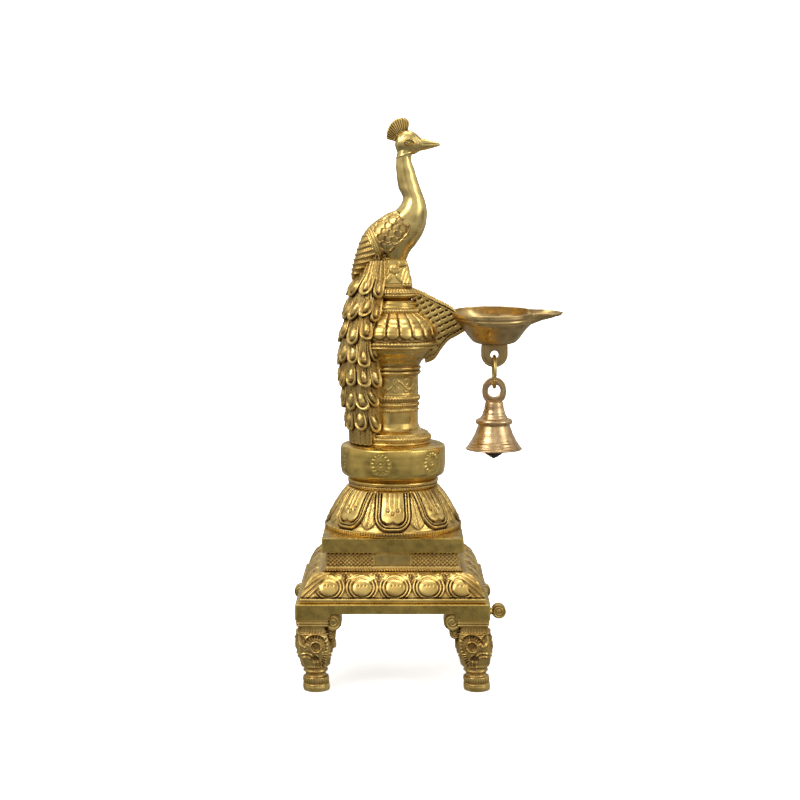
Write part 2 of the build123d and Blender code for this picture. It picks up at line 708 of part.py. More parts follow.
def make_clapper():
    """The clapper: a wire eye, a rod and a pointed bob that shows below the lip."""
    eye_z = clapper_pivot_z() + 2 * hanger_wire_radius + eye_gap - hanger_radius
    eye = Pos(bowl_centre_x, 0, eye_z) * Rot(90, 0, 0) * Torus(hanger_radius, hanger_wire_radius)
    tip_z = clapper_pivot_z() - clapper_length
    bob_top = tip_z + 1.45 * clapper_radius
    rod_top = eye_z - hanger_radius + 0.3
    widest = (clapper_radius, 0, tip_z + 0.8 * clapper_radius)
    shoulder = (0.8 * clapper_radius, 0, tip_z + 1.2 * clapper_radius)
    bob_side = ThreePointArc((clapper_rod_radius, 0, bob_top), shoulder, widest)
    tip = (clapper_tip_radius, 0, tip_z)
    point = ThreePointArc(widest, (0.56 * clapper_radius, 0, tip_z + 0.3 * clapper_radius), tip)
    core = Polyline(tip, (0, 0, tip_z), (0, 0, bob_top), (clapper_rod_radius, 0, bob_top))
    bob = Pos(bowl_centre_x, 0, 0) * revolve(face_of(bob_side, point, core), Axis.Z)
    rod = cylinder_at(clapper_rod_radius, rod_top - bob_top + 0.3, bowl_centre_x, 0, bob_top - 0.3)
    return bob + rod + eye


# ---- Tie rod -----------------------------------------------------------------------------------------
def make_tie_rod():
    """The rod that holds the tiers together, from its nut under the slab up into the bird's plinth."""
    bottom = slab_top - slab_thickness - washer_height - nut_height - rod_tail
    return cylinder_at(rod_radius, disc_top + rod_engagement - bottom, 0, 0, bottom)


def make_tie_washer():
    """The washer under the slab."""
    washer_bottom = slab_top - slab_thickness - washer_height
    washer = cylinder_at(washer_radius, washer_height, 0, 0, washer_bottom)
    return washer - rod_hole(washer_bottom, slab_top)


def make_tie_nut():
    """The hexagonal nut under the washer."""
    nut_bottom = slab_top - slab_thickness - washer_height - nut_height
    hexagon = RegularPolygon(nut_width / 2, 6, major_radius=False) - Circle(rod_radius + rod_clearance / 2)
    return Pos(0, 0, nut_bottom) * extrude(hexagon, nut_height)


def make_parts():
    """Every sub-part of the lamp by its name."""
    parts = {f"leg_{name}": make_leg(name) for name in leg_side}
    parts["stool_frame"] = make_stool_frame()
    parts["carved_cushion"] = make_carved_cushion()
    parts["lattice_plinth"] = make_lattice_plinth()
    parts["top_plate"] = make_top_plate()
    parts["lotus_dome"] = make_lotus_dome()
    parts["lotus_collar"] = make_lotus_collar()
    parts["belly_band"] = make_belly_band()
    parts["pillar"] = make_pillar()
    parts["petal_dome"] = make_petal_dome()
    parts["bead_collar"] = make_bead_collar()
    parts["notched_disc"] = make_notched_disc()
    parts["bird_plinth"] = make_bird_plinth()
    parts["peacock_body"] = make_peacock_body()
    parts["crest"] = make_crest(parts["peacock_body"])
    parts["wing_left"] = make_wing(1, parts["peacock_body"])
    parts["wing_right"] = make_wing(-1, parts["peacock_body"])
    support_names = ("bird_plinth", "notched_disc", "bead_collar", "petal_dome", "pillar")
    supports = [parts[name] for name in support_names]
    others = [parts[name] for name in ("belly_band", "peacock_body", "wing_left", "wing_right")]
    parts["train"] = make_train(supports + others)
    parts["diya_bowl"] = make_diya_bowl()
    parts["lamp_arm"] = make_lamp_arm(supports + [bowl_blank(0)])
    parts["bell_ring"] = make_bell_ring()
    parts["bell"] = make_bell()
    parts["clapper_hanger"] = make_clapper_hanger()
    parts["clapper"] = make_clapper()
    parts["tie_rod"] = make_tie_rod()
    parts["tie_washer"] = make_tie_washer()
    parts["tie_nut"] = make_tie_nut()
    return parts


for node, shape in make_parts().items():
    export_step(shape, f"parts/{node}.step")
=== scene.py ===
"""The looks of the brass standing oil lamp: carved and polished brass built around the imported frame.

Sizes are in millimetres and are turned into metres where a mesh is made. The lamp stands on the floor at
z = 0, its pillar is the Z axis, the bird and the lamp bowl face +X, and the front is the -Y side.
"""

import logging
import math
from dataclasses import dataclass
from enum import Enum
from typing import Callable, Sequence

import bmesh
import bpy
import numpy as np
from mathutils import Matrix, Vector


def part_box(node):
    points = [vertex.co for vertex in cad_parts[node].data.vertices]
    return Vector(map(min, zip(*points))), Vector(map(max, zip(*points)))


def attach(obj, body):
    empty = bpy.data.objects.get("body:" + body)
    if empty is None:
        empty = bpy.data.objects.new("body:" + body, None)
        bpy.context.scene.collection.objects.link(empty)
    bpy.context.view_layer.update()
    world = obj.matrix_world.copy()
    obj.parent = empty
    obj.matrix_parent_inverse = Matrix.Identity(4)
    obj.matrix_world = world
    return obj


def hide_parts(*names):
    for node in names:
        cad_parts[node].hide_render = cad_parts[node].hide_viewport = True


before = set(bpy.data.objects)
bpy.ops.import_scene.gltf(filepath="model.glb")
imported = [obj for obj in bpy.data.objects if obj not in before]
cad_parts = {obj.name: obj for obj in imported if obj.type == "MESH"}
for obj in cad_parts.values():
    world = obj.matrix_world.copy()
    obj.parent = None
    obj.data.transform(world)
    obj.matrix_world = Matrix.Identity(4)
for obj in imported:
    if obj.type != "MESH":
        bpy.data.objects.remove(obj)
LOG = logging.getLogger("lamp")
MM = 0.001
TAU = 2.0 * math.pi
Array = np.ndarray
Piece = bpy.types.Object
Socket = bpy.types.NodeSocket
Tree = bpy.types.NodeTree
Surface = Callable[[Array, Array], Array]
Relief = Callable[[Array, Array], Array]


# ---- Measures from the frame -------------------------------------------------------------------------
@dataclass(frozen=True)
class Extent:
    """The box of one CAD node at rest, in millimetres."""

    low: tuple[float, float, float]
    high: tuple[float, float, float]

    @classmethod
    def of(cls, node: str) -> "Extent":
        """Read the box of a node."""
        low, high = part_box(node)
        return cls(tuple(v / MM for v in low), tuple(v / MM for v in high))

    @property
    def bottom(self) -> float:
        """The lowest height."""
        return self.low[2]

    @property
    def top(self) -> float:
        """The greatest height."""
        return self.high[2]

    @property
    def height(self) -> float:
        """The height from bottom to top."""
        return self.high[2] - self.low[2]

    @property
    def half_width(self) -> float:
        """Half of the size along X."""
        return (self.high[0] - self.low[0]) / 2

    @property
    def centre_x(self) -> float:
        """The middle along X."""
        return (self.high[0] + self.low[0]) / 2


# ---- Shapes of relief --------------------------------------------------------------------------------
def soft_step(value: Array, edge: float, width: float) -> Array:
    """Rise smoothly from 0 to 1 across an edge."""
    share = np.clip((value - edge) / width + 0.5, 0.0, 1.0)
    return share * share * (3.0 - 2.0 * share)


def ridge(distance: Array, width: float) -> Array:
    """A rounded ridge about distance 0."""
    return np.sqrt(np.clip(1.0 - (distance / width) ** 2, 0.0, 1.0))


def groove(distance: Array, width: float) -> Array:
    """A soft groove about distance 0, as a depth from 0 to 1."""
    return np.exp(-((distance / width) ** 2))


def nearest(value: Array, pitch: float, phase: float = 0.0) -> Array:
    """The signed offset of each value from the nearest multiple of pitch."""
    return (value - phase + pitch / 2) % pitch - pitch / 2


def beads(along: Array, across: Array, pitch: float, radius: float) -> Array:
    """A row of round beads as a height from 0 to 1."""
    return ridge(np.hypot(nearest(along, pitch), across), radius)


def rounded_box(x: Array, y: Array, half_x: float, half_y: float, corner: float) -> Array:
    """Signed distance to a rounded rectangle about the origin, negative inside."""
    out_x = np.abs(x) - half_x + corner
    out_y = np.abs(y) - half_y + corner
    outside = np.hypot(np.maximum(out_x, 0.0), np.maximum(out_y, 0.0))
    return outside + np.minimum(np.maximum(out_x, out_y), 0.0) - corner


def through(knots: Sequence[float], values: Sequence[float], at: Array) -> Array:
    """A smooth curve through the values given at the knots.

    Args:
        knots: Rising positions.
        values: The value at each position.
        at: Where to read the curve.

    Returns:
        The curve's value at each place.
    """
    knot = np.asarray(knots, float)
    value = np.asarray(values, float)
    slope = np.gradient(value, knot)
    place = np.clip(at, knot[0], knot[-1])
    index = np.clip(np.searchsorted(knot, place, side="right") - 1, 0, len(knot) - 2)
    step = knot[index + 1] - knot[index]
    t = (place - knot[index]) / step
    start = (1 + 2 * t) * (1 - t) ** 2 * value[index] + t * (1 - t) ** 2 * step * slope[index]
    end = t * t * (3 - 2 * t) * value[index + 1] - t * t * (1 - t) * step * slope[index + 1]
    return start + end


def wander(points: Array, scale: float, seed: float) -> Array:
    """A gentle uneven height over points, from about -1 to 1, the same on every run.

    Args:
        points: Places in millimetres, one row each.
        scale: The length of one swell.
        seed: Any number, to make two surfaces differ.

    Returns:
        One height for each point.
    """
    p = points * (TAU / scale)
    total = np.sin(p[:, 0] + 1.7 * np.sin(p[:, 1] * 0.7 + seed) + seed)
    total += np.sin(p[:, 1] * 1.3 + 1.1 * np.sin(p[:, 2] * 0.9 + 2 * seed))
    total += np.sin(p[:, 2] * 1.1 + 1.3 * np.sin(p[:, 0] * 0.8 + 3 * seed))
    return total / 3.0


# ---- Mesh making -------------------------------------------------------------------------------------
def finish_mesh(bm: bmesh.types.BMesh, name: str, weld: float = 0.002) -> Piece:
    """Weld, face outwards, and hand a bmesh over to a new smooth object.

    Args:
        bm: The shape, which is freed.
        name: The object's name.
        weld: Vertices nearer than this many millimetres are merged.

    Returns:
        The new object, at the origin.
    """
    bmesh.ops.remove_doubles(bm, verts=bm.verts, dist=weld * MM)
    bmesh.ops.recalc_face_normals(bm, faces=bm.faces)
    mesh = bpy.data.meshes.new(name)
    bm.to_mesh(mesh)
    bm.free()
    mesh.polygons.foreach_set("use_smooth", np.ones(len(mesh.polygons), bool))
    piece = bpy.data.objects.new(name, mesh)
    bpy.context.scene.collection.objects.link(piece)
    return piece


def read_points(mesh: bpy.types.Mesh) -> Array:
    """The vertices of a mesh in millimetres, one row each."""
    flat = np.empty(len(mesh.vertices) * 3)
    mesh.vertices.foreach_get("co", flat)
    return flat.reshape(-1, 3) / MM


def write_points(mesh: bpy.types.Mesh, points: Array) -> None:
    """Put the vertices of a mesh at points given in millimetres."""
    mesh.vertices.foreach_set("co", (points * MM).ravel())
    mesh.update()


def emboss(piece: Piece, relief: Callable[[Array], Array]) -> None:
    """Raise a piece's surface along its normals.

    Args:
        piece: The object to work.
        relief: Gives the height in millimetres for points in millimetres.
    """
    mesh = piece.data
    points = read_points(mesh)
    normals = np.empty(len(mesh.vertices) * 3)
    mesh.vertex_normals.foreach_get("vector", normals)
    write_points(mesh, points + normals.reshape(-1, 3) * relief(points)[:, None])


def turned(name: str, profile: Sequence[tuple[float, float]], steps: int, centre_x: float = 0.0) -> Piece:
    """Turn a profile about an upright axis.

    Args:
        name: The object's name.
        profile: (radius, height) points; a closed outline when its ends leave the axis.
        steps: Facets round the axis.
        centre_x: Where the axis stands along X.

    Returns:
        The turned object.
    """
    outline = list(profile)
    if outline[0][0] > 1e-6 and outline[-1][0] > 1e-6:
        outline.append(outline[0])
    radii = np.array([radius for radius, _ in outline])
    heights = np.array([height for _, height in outline])
    knots = np.linspace(0.0, 1.0, len(outline))

    def place(u: Array, v: Array) -> Array:
        """Points round the axis."""
        radius = np.interp(v, knots, radii)
        return np.column_stack((centre_x + radius * np.cos(TAU * u), radius * np.sin(TAU * u),
                                np.interp(v, knots, heights)))

    return bent_sheet(name, steps, len(outline) - 1, place)


def bent_sheet(name: str, columns: int, rows: int, place: Surface, relief: Relief | None = None,
               flip: bool = False) -> Piece:
    """Bend a flat grid onto a surface, raise its relief and weld where it meets itself.

    Args:
        name: The object's name.
        columns: Cells along the first direction.
        rows: Cells along the second direction.
        place: Gives points in millimetres for places u and v from 0 to 1.
        relief: Height in millimetres at u and v, along the surface's normal.
        flip: Turns the normal that the relief rises along.

    Returns:
        The new object.
    """
    bm = bmesh.new()
    bmesh.ops.create_grid(bm, x_segments=columns, y_segments=rows, size=0.5)
    flat = np.array([vert.co[:2] for vert in bm.verts]) + 0.5
    u, v = flat[:, 0], flat[:, 1]
    points = place(u, v)
    if relief is not None:
        tiny = 1e-4
        along = place(np.minimum(u + tiny, 1.0), v) - place(np.maximum(u - tiny, 0.0), v)
        across = place(u, np.minimum(v + tiny, 1.0)) - place(u, np.maximum(v - tiny, 0.0))
        normal = np.cross(along, across) * (-1.0 if flip else 1.0)
        length = np.linalg.norm(normal, axis=1, keepdims=True)
        normal = np.divide(normal, length, out=np.zeros_like(normal), where=length > 1e-12)
        points = points + normal * relief(u, v)[:, None]
    for vert, point in zip(bm.verts, points * MM):
        vert.co = point
    return finish_mesh(bm, name)


def arc_points(start: tuple[float, float], end: tuple[float, float], bulge: float, pitch: float = 0.5
               ) -> list[tuple[float, float]]:
    """Points along a curved stretch of a profile, without its first point.

    Args:
        start: The (radius, height) that the stretch leaves.
        end: The (radius, height) that it reaches.
        bulge: How far its middle stands to the right of the straight way, in millimetres.
        pitch: The spacing of the points.

    Returns:
        The points, ending at end.
    """
    run = (end[0] - start[0], end[1] - start[1])
    length = math.hypot(*run)
    count = max(2, round((length + abs(bulge)) / pitch)) if length > 0 else 1
    side = (run[1] / length, -run[0] / length)
    points = []
    for step in range(1, count + 1):
        t = step / count
        lift = bulge * 4 * t * (1 - t)
        points.append((start[0] + run[0] * t + side[0] * lift, start[1] + run[1] * t + side[1] * lift))
    return points


def profile_of(start: tuple[float, float], *stretches: tuple[float, float, float], pitch: float = 0.5
               ) -> list[tuple[float, float]]:
    """A finely divided profile.

    Args:
        start: The first (radius, height).
        stretches: (radius, height, bulge) of the end of each stretch, from the bottom up.
        pitch: The spacing of the points.

    Returns:
        All of the points.
    """
    points = [start]
    for radius, height, bulge in stretches:
        points += arc_points(points[-1], (radius, height), bulge, pitch)
    return points


def join_pieces(name: str, pieces: Sequence[Piece]) -> Piece:
    """Join several objects' meshes into the first one.

    Args:
        name: The joined object's name.
        pieces: The objects, which all end up in the one returned.

    Returns:
        The joined object.
    """
    bm = bmesh.new()
    for piece in pieces:
        bm.from_mesh(piece.data)
        mesh = piece.data
        bpy.data.objects.remove(piece)
        bpy.data.meshes.remove(mesh)
    mesh = bpy.data.meshes.new(name)
    bm.to_mesh(mesh)
    bm.free()
    mesh.polygons.foreach_set("use_smooth", np.ones(len(mesh.polygons), bool))
    joined = bpy.data.objects.new(name, mesh)
    bpy.context.scene.collection.objects.link(joined)
    return joined


def squared(u: Array, half: Array, sharpness: float = 14.0) -> tuple[Array, Array]:
    """Places round a rounded square.

    Args:
        u: Position round the square, from 0 to 1.
        half: Half of the square's width at each place.
        sharpness: How square the corners are.

    Returns:
        X and Y of each place.
    """
    side = np.minimum((u * 4).astype(int), 3)
    t = (u * 4 - side) * 2 - 1
    shrink = half / (1 + np.abs(t) ** sharpness) ** (1 / sharpness)
    near, far = shrink * t, -shrink
    turn_cos = np.array([1, 0, -1, 0])[side]
    turn_sin = np.array([0, 1, 0, -1])[side]
    return near * turn_cos - far * turn_sin, near * turn_sin + far * turn_cos


def side_place(points: Array) -> tuple[Array, Array]:
    """Where points of a square tier lie on their own side: along it, and out from the middle."""
    x, y = points[:, 0], points[:, 1]
    on_x = np.abs(x) > np.abs(y)
    along = np.where(on_x, np.sign(x) * y, -np.sign(y) * x)
    return along, np.maximum(np.abs(x), np.abs(y))


# ---- Finishes ----------------------------------------------------------------------------------------
class HollowDarkening(Enum):
    """How much dark patina and painted shade a finish gets in its hollows, where ambient occlusion finds
    them.
    """

    DEEP = "deep"
    LIGHT = "light"
    NONE = "none"


@dataclass(frozen=True)
class MetalFinish:
    """One metal finish: its colours, its gloss, the marks of its making, and the patina with painted shade in
    its hollows.
    """

    name: str
    bright: tuple[float, float, float]
    dull: tuple[float, float, float]
    # The near-black colour of patina and painted shade in the deepest hollows.
    patina_and_shade: tuple[float, float, float]
    roughness: float
    # How strongly patina and painted shade darken the colour in the hollows.
    hollow_darkening: HollowDarkening = HollowDarkening.DEEP
    grain_depth: float = 0.12
    brushed: float = 0.0
    # The brown colour of tarnish and painted shade in half-closed hollows.
    tarnish_and_shade: tuple[float, float, float] = (0.36, 0.19, 0.055)
    cloud_scale: float = 55.0
    gloss_scale: float = 240.0
    speckle_scale: float = 420.0
    grain_scale: float = 900.0
    tarnish_and_shade_roughness: float = 0.55
    hollow_reach: float = 0.0045
    speckle_share: float = 0.26

    @property
    def tarnish_and_shade_range(self) -> tuple[float, float]:
        """How closed in a hollow is where its brown tarnish and painted shade begins and where it is full."""
        return (0.13, 0.40) if self.hollow_darkening is HollowDarkening.DEEP else (0.34, 0.80)

    @property
    def patina_and_shade_range(self) -> tuple[float, float]:
        """How closed in a hollow is where its dark patina and painted shade begins and where it is full."""
        return (0.29, 0.60) if self.hollow_darkening is HollowDarkening.DEEP else (0.55, 0.98)

    def material(self) -> bpy.types.Material:
        """Make the finish's node material, once.

        Returns:
            The material.
        """
        known = bpy.data.materials.get(self.name)
        if known is not None:
            return known
        made = bpy.data.materials.new(self.name)
        made.use_nodes = True
        tree = made.node_tree
        tree.nodes.clear()
        output = tree.nodes.new("ShaderNodeOutputMaterial")
        shader = tree.nodes.new("ShaderNodeBsdfPrincipled")
        shader.inputs["Metallic"].default_value = 1.0
        tree.links.new(shader.outputs["BSDF"], output.inputs["Surface"])
        place = tree.nodes.new("ShaderNodeTexCoord").outputs["Object"]
        cloud = self._noise(tree, place, self.cloud_scale, 4.0)
        colour = self._mix(tree, self._ramp(tree, cloud, 0.36, 0.66), self.dull, self.bright)
        gloss = self._noise(tree, place, self.gloss_scale, 3.0)
        rough = self._range(tree, gloss, self.roughness - 0.07, self.roughness + 0.1)
        # Painted shade with patina: the colour turns brown and then near black where ambient occlusion finds
        # the metal shut in.
        if self.hollow_darkening is not HollowDarkening.NONE:
            hollow = self._hollow(tree, place)
            tarnish_and_shade = self._ramp(tree, hollow, *self.tarnish_and_shade_range)
            colour = self._mix(tree, tarnish_and_shade, colour, self.tarnish_and_shade)
            colour = self._mix(tree, self._ramp(tree, hollow, *self.patina_and_shade_range), colour, self.patina_and_shade)
            rough = self._lerp(tree, tarnish_and_shade, rough, self.tarnish_and_shade_roughness)
        tree.links.new(colour, shader.inputs["Base Color"])
        tree.links.new(rough, shader.inputs["Roughness"])
        tree.links.new(self._marks(tree, place), shader.inputs["Normal"])
        return made

    def _noise(self, tree: Tree, place: Socket, scale: float, detail: float
               ) -> Socket:
        """A noise texture's value over the object."""
        node = tree.nodes.new("ShaderNodeTexNoise")
        node.inputs["Scale"].default_value = scale
        node.inputs["Detail"].default_value = detail
        tree.links.new(place, node.inputs["Vector"])
        return node.outputs["Fac"]

    def _ramp(self, tree: Tree, value: Socket, low: float, high: float
              ) -> Socket:
        """Stretch low..high to 0..1."""
        node = tree.nodes.new("ShaderNodeMapRange")
        node.interpolation_type = "SMOOTHSTEP"
        node.inputs["From Min"].default_value = low
        node.inputs["From Max"].default_value = high
        tree.links.new(value, node.inputs["Value"])
        return node.outputs["Result"]

    def _range(self, tree: Tree, value: Socket, low: float, high: float
               ) -> Socket:
        """Map a noise value to low..high."""
        node = tree.nodes.new("ShaderNodeMapRange")
        node.inputs["From Min"].default_value = 0.3
        node.inputs["From Max"].default_value = 0.7
        node.inputs["To Min"].default_value = low
        node.inputs["To Max"].default_value = high
        tree.links.new(value, node.inputs["Value"])
        return node.outputs["Result"]

    def _lerp(self, tree: Tree, share: Socket, value: Socket, end: float
              ) -> Socket:
        """Blend a value towards an end value by a share."""
        node = tree.nodes.new("ShaderNodeMix")
        node.inputs[3].default_value = end
        tree.links.new(share, node.inputs[0])
        tree.links.new(value, node.inputs[2])
        return node.outputs[0]

    def _mix(self, tree: Tree, share: Socket,
             first: Socket | tuple[float, float, float], second: tuple[float, float, float]
             ) -> Socket:
        """Blend two colours by a share."""
        node = tree.nodes.new("ShaderNodeMix")
        node.data_type = "RGBA"
        tree.links.new(share, node.inputs[0])
        if isinstance(first, tuple):
            node.inputs[6].default_value = (*first, 1.0)
        else:
            tree.links.new(first, node.inputs[6])
        node.inputs[7].default_value = (*second, 1.0)
        return node.outputs[2]

    def _hollow(self, tree: Tree, place: Socket) -> Socket:
        """How deep in a hollow a point is, from ambient occlusion, from 0 on open metal to 1, roughened by
        noise; it sets where painted shade and patina darken the colour.
        """
        closed = tree.nodes.new("ShaderNodeAmbientOcclusion")
        closed.samples = 8
        closed.only_local = True
        closed.inputs["Distance"].default_value = self.hollow_reach
        share = tree.nodes.new("ShaderNodeMath")
        share.operation = "SUBTRACT"
        share.inputs[0].default_value = 0.92
        tree.links.new(closed.outputs["AO"], share.inputs[1])
        speckle = tree.nodes.new("ShaderNodeMath")
        speckle.operation = "MULTIPLY_ADD"
        tree.links.new(self._noise(tree, place, self.speckle_scale, 3.0), speckle.inputs[0])
        speckle.inputs[1].default_value = self.speckle_share
        tree.links.new(share.outputs[0], speckle.inputs[2])
        return speckle.outputs[0]

    def _marks(self, tree: Tree, place: Socket) -> Socket:
        """The normal with casting grain, and with file marks where the metal is brushed."""
        bump = tree.nodes.new("ShaderNodeBump")
        bump.inputs["Strength"].default_value = self.grain_depth
        bump.inputs["Distance"].default_value = 0.0004
        tree.links.new(self._noise(tree, place, self.grain_scale, 5.0), bump.inputs["Height"])
        if self.brushed <= 0.0:
            return bump.outputs["Normal"]
        stretch = tree.nodes.new("ShaderNodeMapping")
        stretch.inputs["Scale"].default_value = (60.0, 60.0, 1400.0)
        tree.links.new(place, stretch.inputs["Vector"])
        lines = tree.nodes.new("ShaderNodeBump")
        lines.inputs["Strength"].default_value = self.brushed
        lines.inputs["Distance"].default_value = 0.0002
        tree.links.new(self._noise(tree, stretch.outputs["Vector"], 1.0, 3.0), lines.inputs["Height"])
        tree.links.new(bump.outputs["Normal"], lines.inputs["Normal"])
        return lines.outputs["Normal"]


# The hollow colours below are patina with painted shade: near black in the deepest hollows and brown in the
# shallower ones.
DARK_PATINA_AND_SHADE = (0.10, 0.055, 0.02)
CARVED = MetalFinish("carved_brass_finish", bright=(0.82, 0.59, 0.20), dull=(0.64, 0.43, 0.125),
                     patina_and_shade=(0.040, 0.021, 0.010), roughness=0.29)
POLISHED = MetalFinish("polished_brass_finish", bright=(0.78, 0.555, 0.155), dull=(0.64, 0.44, 0.115),
                       patina_and_shade=DARK_PATINA_AND_SHADE, roughness=0.27, hollow_darkening=HollowDarkening.LIGHT, grain_depth=0.05, brushed=0.06)
SMOOTH_BIRD = MetalFinish("bird_brass_finish", bright=(0.80, 0.61, 0.24), dull=(0.68, 0.50, 0.17),
                          patina_and_shade=DARK_PATINA_AND_SHADE, roughness=0.28, hollow_darkening=HollowDarkening.LIGHT, grain_depth=0.10)
BELL_METAL = MetalFinish("bell_metal_finish", bright=(0.80, 0.56, 0.30), dull=(0.60, 0.39, 0.19),
                         patina_and_shade=(0.10, 0.050, 0.024), roughness=0.28, hollow_darkening=HollowDarkening.LIGHT, grain_depth=0.08,
                         brushed=0.10)
BOWL_BRASS = MetalFinish("bowl_brass_finish", bright=(0.66, 0.47, 0.20), dull=(0.50, 0.34, 0.14),
                         patina_and_shade=(0.10, 0.05, 0.02), roughness=0.30, hollow_darkening=HollowDarkening.LIGHT, grain_depth=0.06,
                         brushed=0.08)
WIRE_BRASS = MetalFinish("wire_brass_finish", bright=(0.66, 0.52, 0.19), dull=(0.50, 0.38, 0.13),
                         patina_and_shade=(0.12, 0.07, 0.02), roughness=0.34, hollow_darkening=HollowDarkening.NONE, grain_depth=0.05)
CLAPPER_METAL = MetalFinish("clapper_finish", bright=(0.115, 0.085, 0.065), dull=(0.065, 0.048, 0.040),
                            patina_and_shade=(0.02, 0.015, 0.012), roughness=0.50, hollow_darkening=HollowDarkening.NONE, grain_depth=0.25)
ROD_STEEL = MetalFinish("rod_steel_finish", bright=(0.42, 0.42, 0.41), dull=(0.33, 0.32, 0.31),
                        patina_and_shade=(0.1, 0.09, 0.08), roughness=0.42, hollow_darkening=HollowDarkening.NONE, grain_depth=0.06,
                        brushed=0.1)


def settle(piece: Piece, finish: MetalFinish, slot: str, body: str, *nodes: str) -> Piece:
    """Dress a finished piece and fix it to the frame.

    Args:
        piece: The finished object.
        finish: Its metal.
        slot: The record's material slot that it stands for; not used.
        body: The body that it rides on.
        nodes: The CAD nodes that it replaces.

    Returns:
        The same object.
    """
    piece.data.materials.clear()
    piece.data.materials.append(finish.material())
    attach(piece, body)
    if nodes:
        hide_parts(*nodes)
    LOG.info("%s: %d faces, on %s", piece.name, len(piece.data.polygons), body)
    return piece


def polar(points: Array, centre_x: float = 0.0) -> tuple[Array, Array]:
    """The turn of each point from the front towards +X, and its radius."""
    return np.arctan2(points[:, 0] - centre_x, -points[:, 1]), np.hypot(points[:, 0] - centre_x, points[:, 1])


def scales(down: Array, across: Array, pitch: float, width: float, rows: int) -> Array:
    """Overlapping scales whose round tips point down the pattern.

    Args:
        down: Position along the pattern, 0 at the first row's tips.
        across: Position across it.
        pitch: Distance from row to row.
        width: Width of one scale.
        rows: How many rows there are.

    Returns:
        Height from 0 to 1.
    """
    height = np.zeros_like(down)
    taken = np.zeros(down.shape, bool)
    for row in range(rows):
        depth = down - row * pitch
        side = nearest(across, width, (row % 2) * width / 2)
        reach = np.hypot(side / (width * 0.54), np.maximum(depth + width * 0.5, 0.0) / (width * 0.5))
        inside = (reach < 1.0) & ~taken & (depth > -2.2 * pitch)
        rise = np.clip(1.0 + depth / (2.2 * pitch), 0.0, 1.0)
        lobe = (0.2 + 0.8 * rise) * soft_step(1.0 - reach, 0.09, 0.14)
        height = np.where(inside, lobe, height)
        taken |= inside
    return height


def square_tier(name: str, profile: Sequence[tuple[float, float]], columns: int, sharpness: float = 44.0,
                low_edge: Callable[[Array, Array], Array] | None = None) -> Piece:
    """A square tier, closed over its top and bottom.

    Args:
        name: The object's name.
        profile: (half width, height) points from the middle of the bottom to the middle of the top.
        columns: Cells round the square.
        sharpness: How square the corners are.
        low_edge: Changes the heights, given the place along the side and the height.

    Returns:
        The new object.
    """
    halves = np.array([half for half, _ in profile])
    heights = np.array([height for _, height in profile])
    knots = np.linspace(0.0, 1.0, len(profile))

    def place(u: Array, v: Array) -> Array:
        """Points on the tier."""
        half = np.interp(v, knots, halves)
        height = np.interp(v, knots, heights)
        x, y = squared(u, half, sharpness)
        points = np.column_stack((x, y, height))
        if low_edge is not None:
            along, _ = side_place(points)
            points[:, 2] = low_edge(along, points[:, 2])
        return points

    return bent_sheet(name, columns, len(profile) - 1, place)


def scroll(name: str, centre: tuple[float, float, float], radius: float, length: float, along_x: bool
           ) -> Piece:
    """A cast scroll: a short bar with a spiral cut into each end.

    Args:
        name: The object's name.
        centre: Its middle, in millimetres.
        radius: Its radius.
        length: Its length.
        along_x: Whether it lies along X, not along Y.

    Returns:
        The new object.
    """
    outline = [(0.0, -length / 2)]
    outline += [(radius * step / 14, -length / 2) for step in range(1, 14)]
    outline += [(radius - 0.5, -length / 2 + 0.05), (radius - 0.12, -length / 2 + 0.3),
                (radius, -length / 2 + 0.8)]
    outline += [(radius, -length / 2 + 0.8 + (length - 1.6) * step / 14) for step in range(1, 15)]
    outline += [(radius - 0.12, length / 2 - 0.3), (radius - 0.5, length / 2 - 0.05)]
    outline += [(radius * step / 14, length / 2) for step in range(13, -1, -1)]
    piece = turned(name, outline, 56)

    def spiral(points: Array) -> Array:
        """The spiral groove of the ends and the ring lines of the side."""
        turn = np.arctan2(points[:, 1], points[:, 0]) / TAU
        out = np.hypot(points[:, 0], points[:, 1])
        end = np.abs(points[:, 2]) > length / 2 - 0.25
        wound = nearest(out - turn * radius * 0.34, radius * 0.34)
        button = np.where(out < radius * 0.22, 0.0, -0.55 * groove(wound, radius * 0.06))
        line = -0.3 * groove(np.abs(points[:, 2]) - length * 0.34, 0.35)
        return np.where(end, button, line)

    emboss(piece, spiral)
    points = read_points(piece.data)
    if along_x:
        points = points[:, [2, 1, 0]]
    else:
        points = points[:, [0, 2, 1]]
    write_points(piece.data, points + np.array(centre))
    piece.data.flip_normals()
    return piece


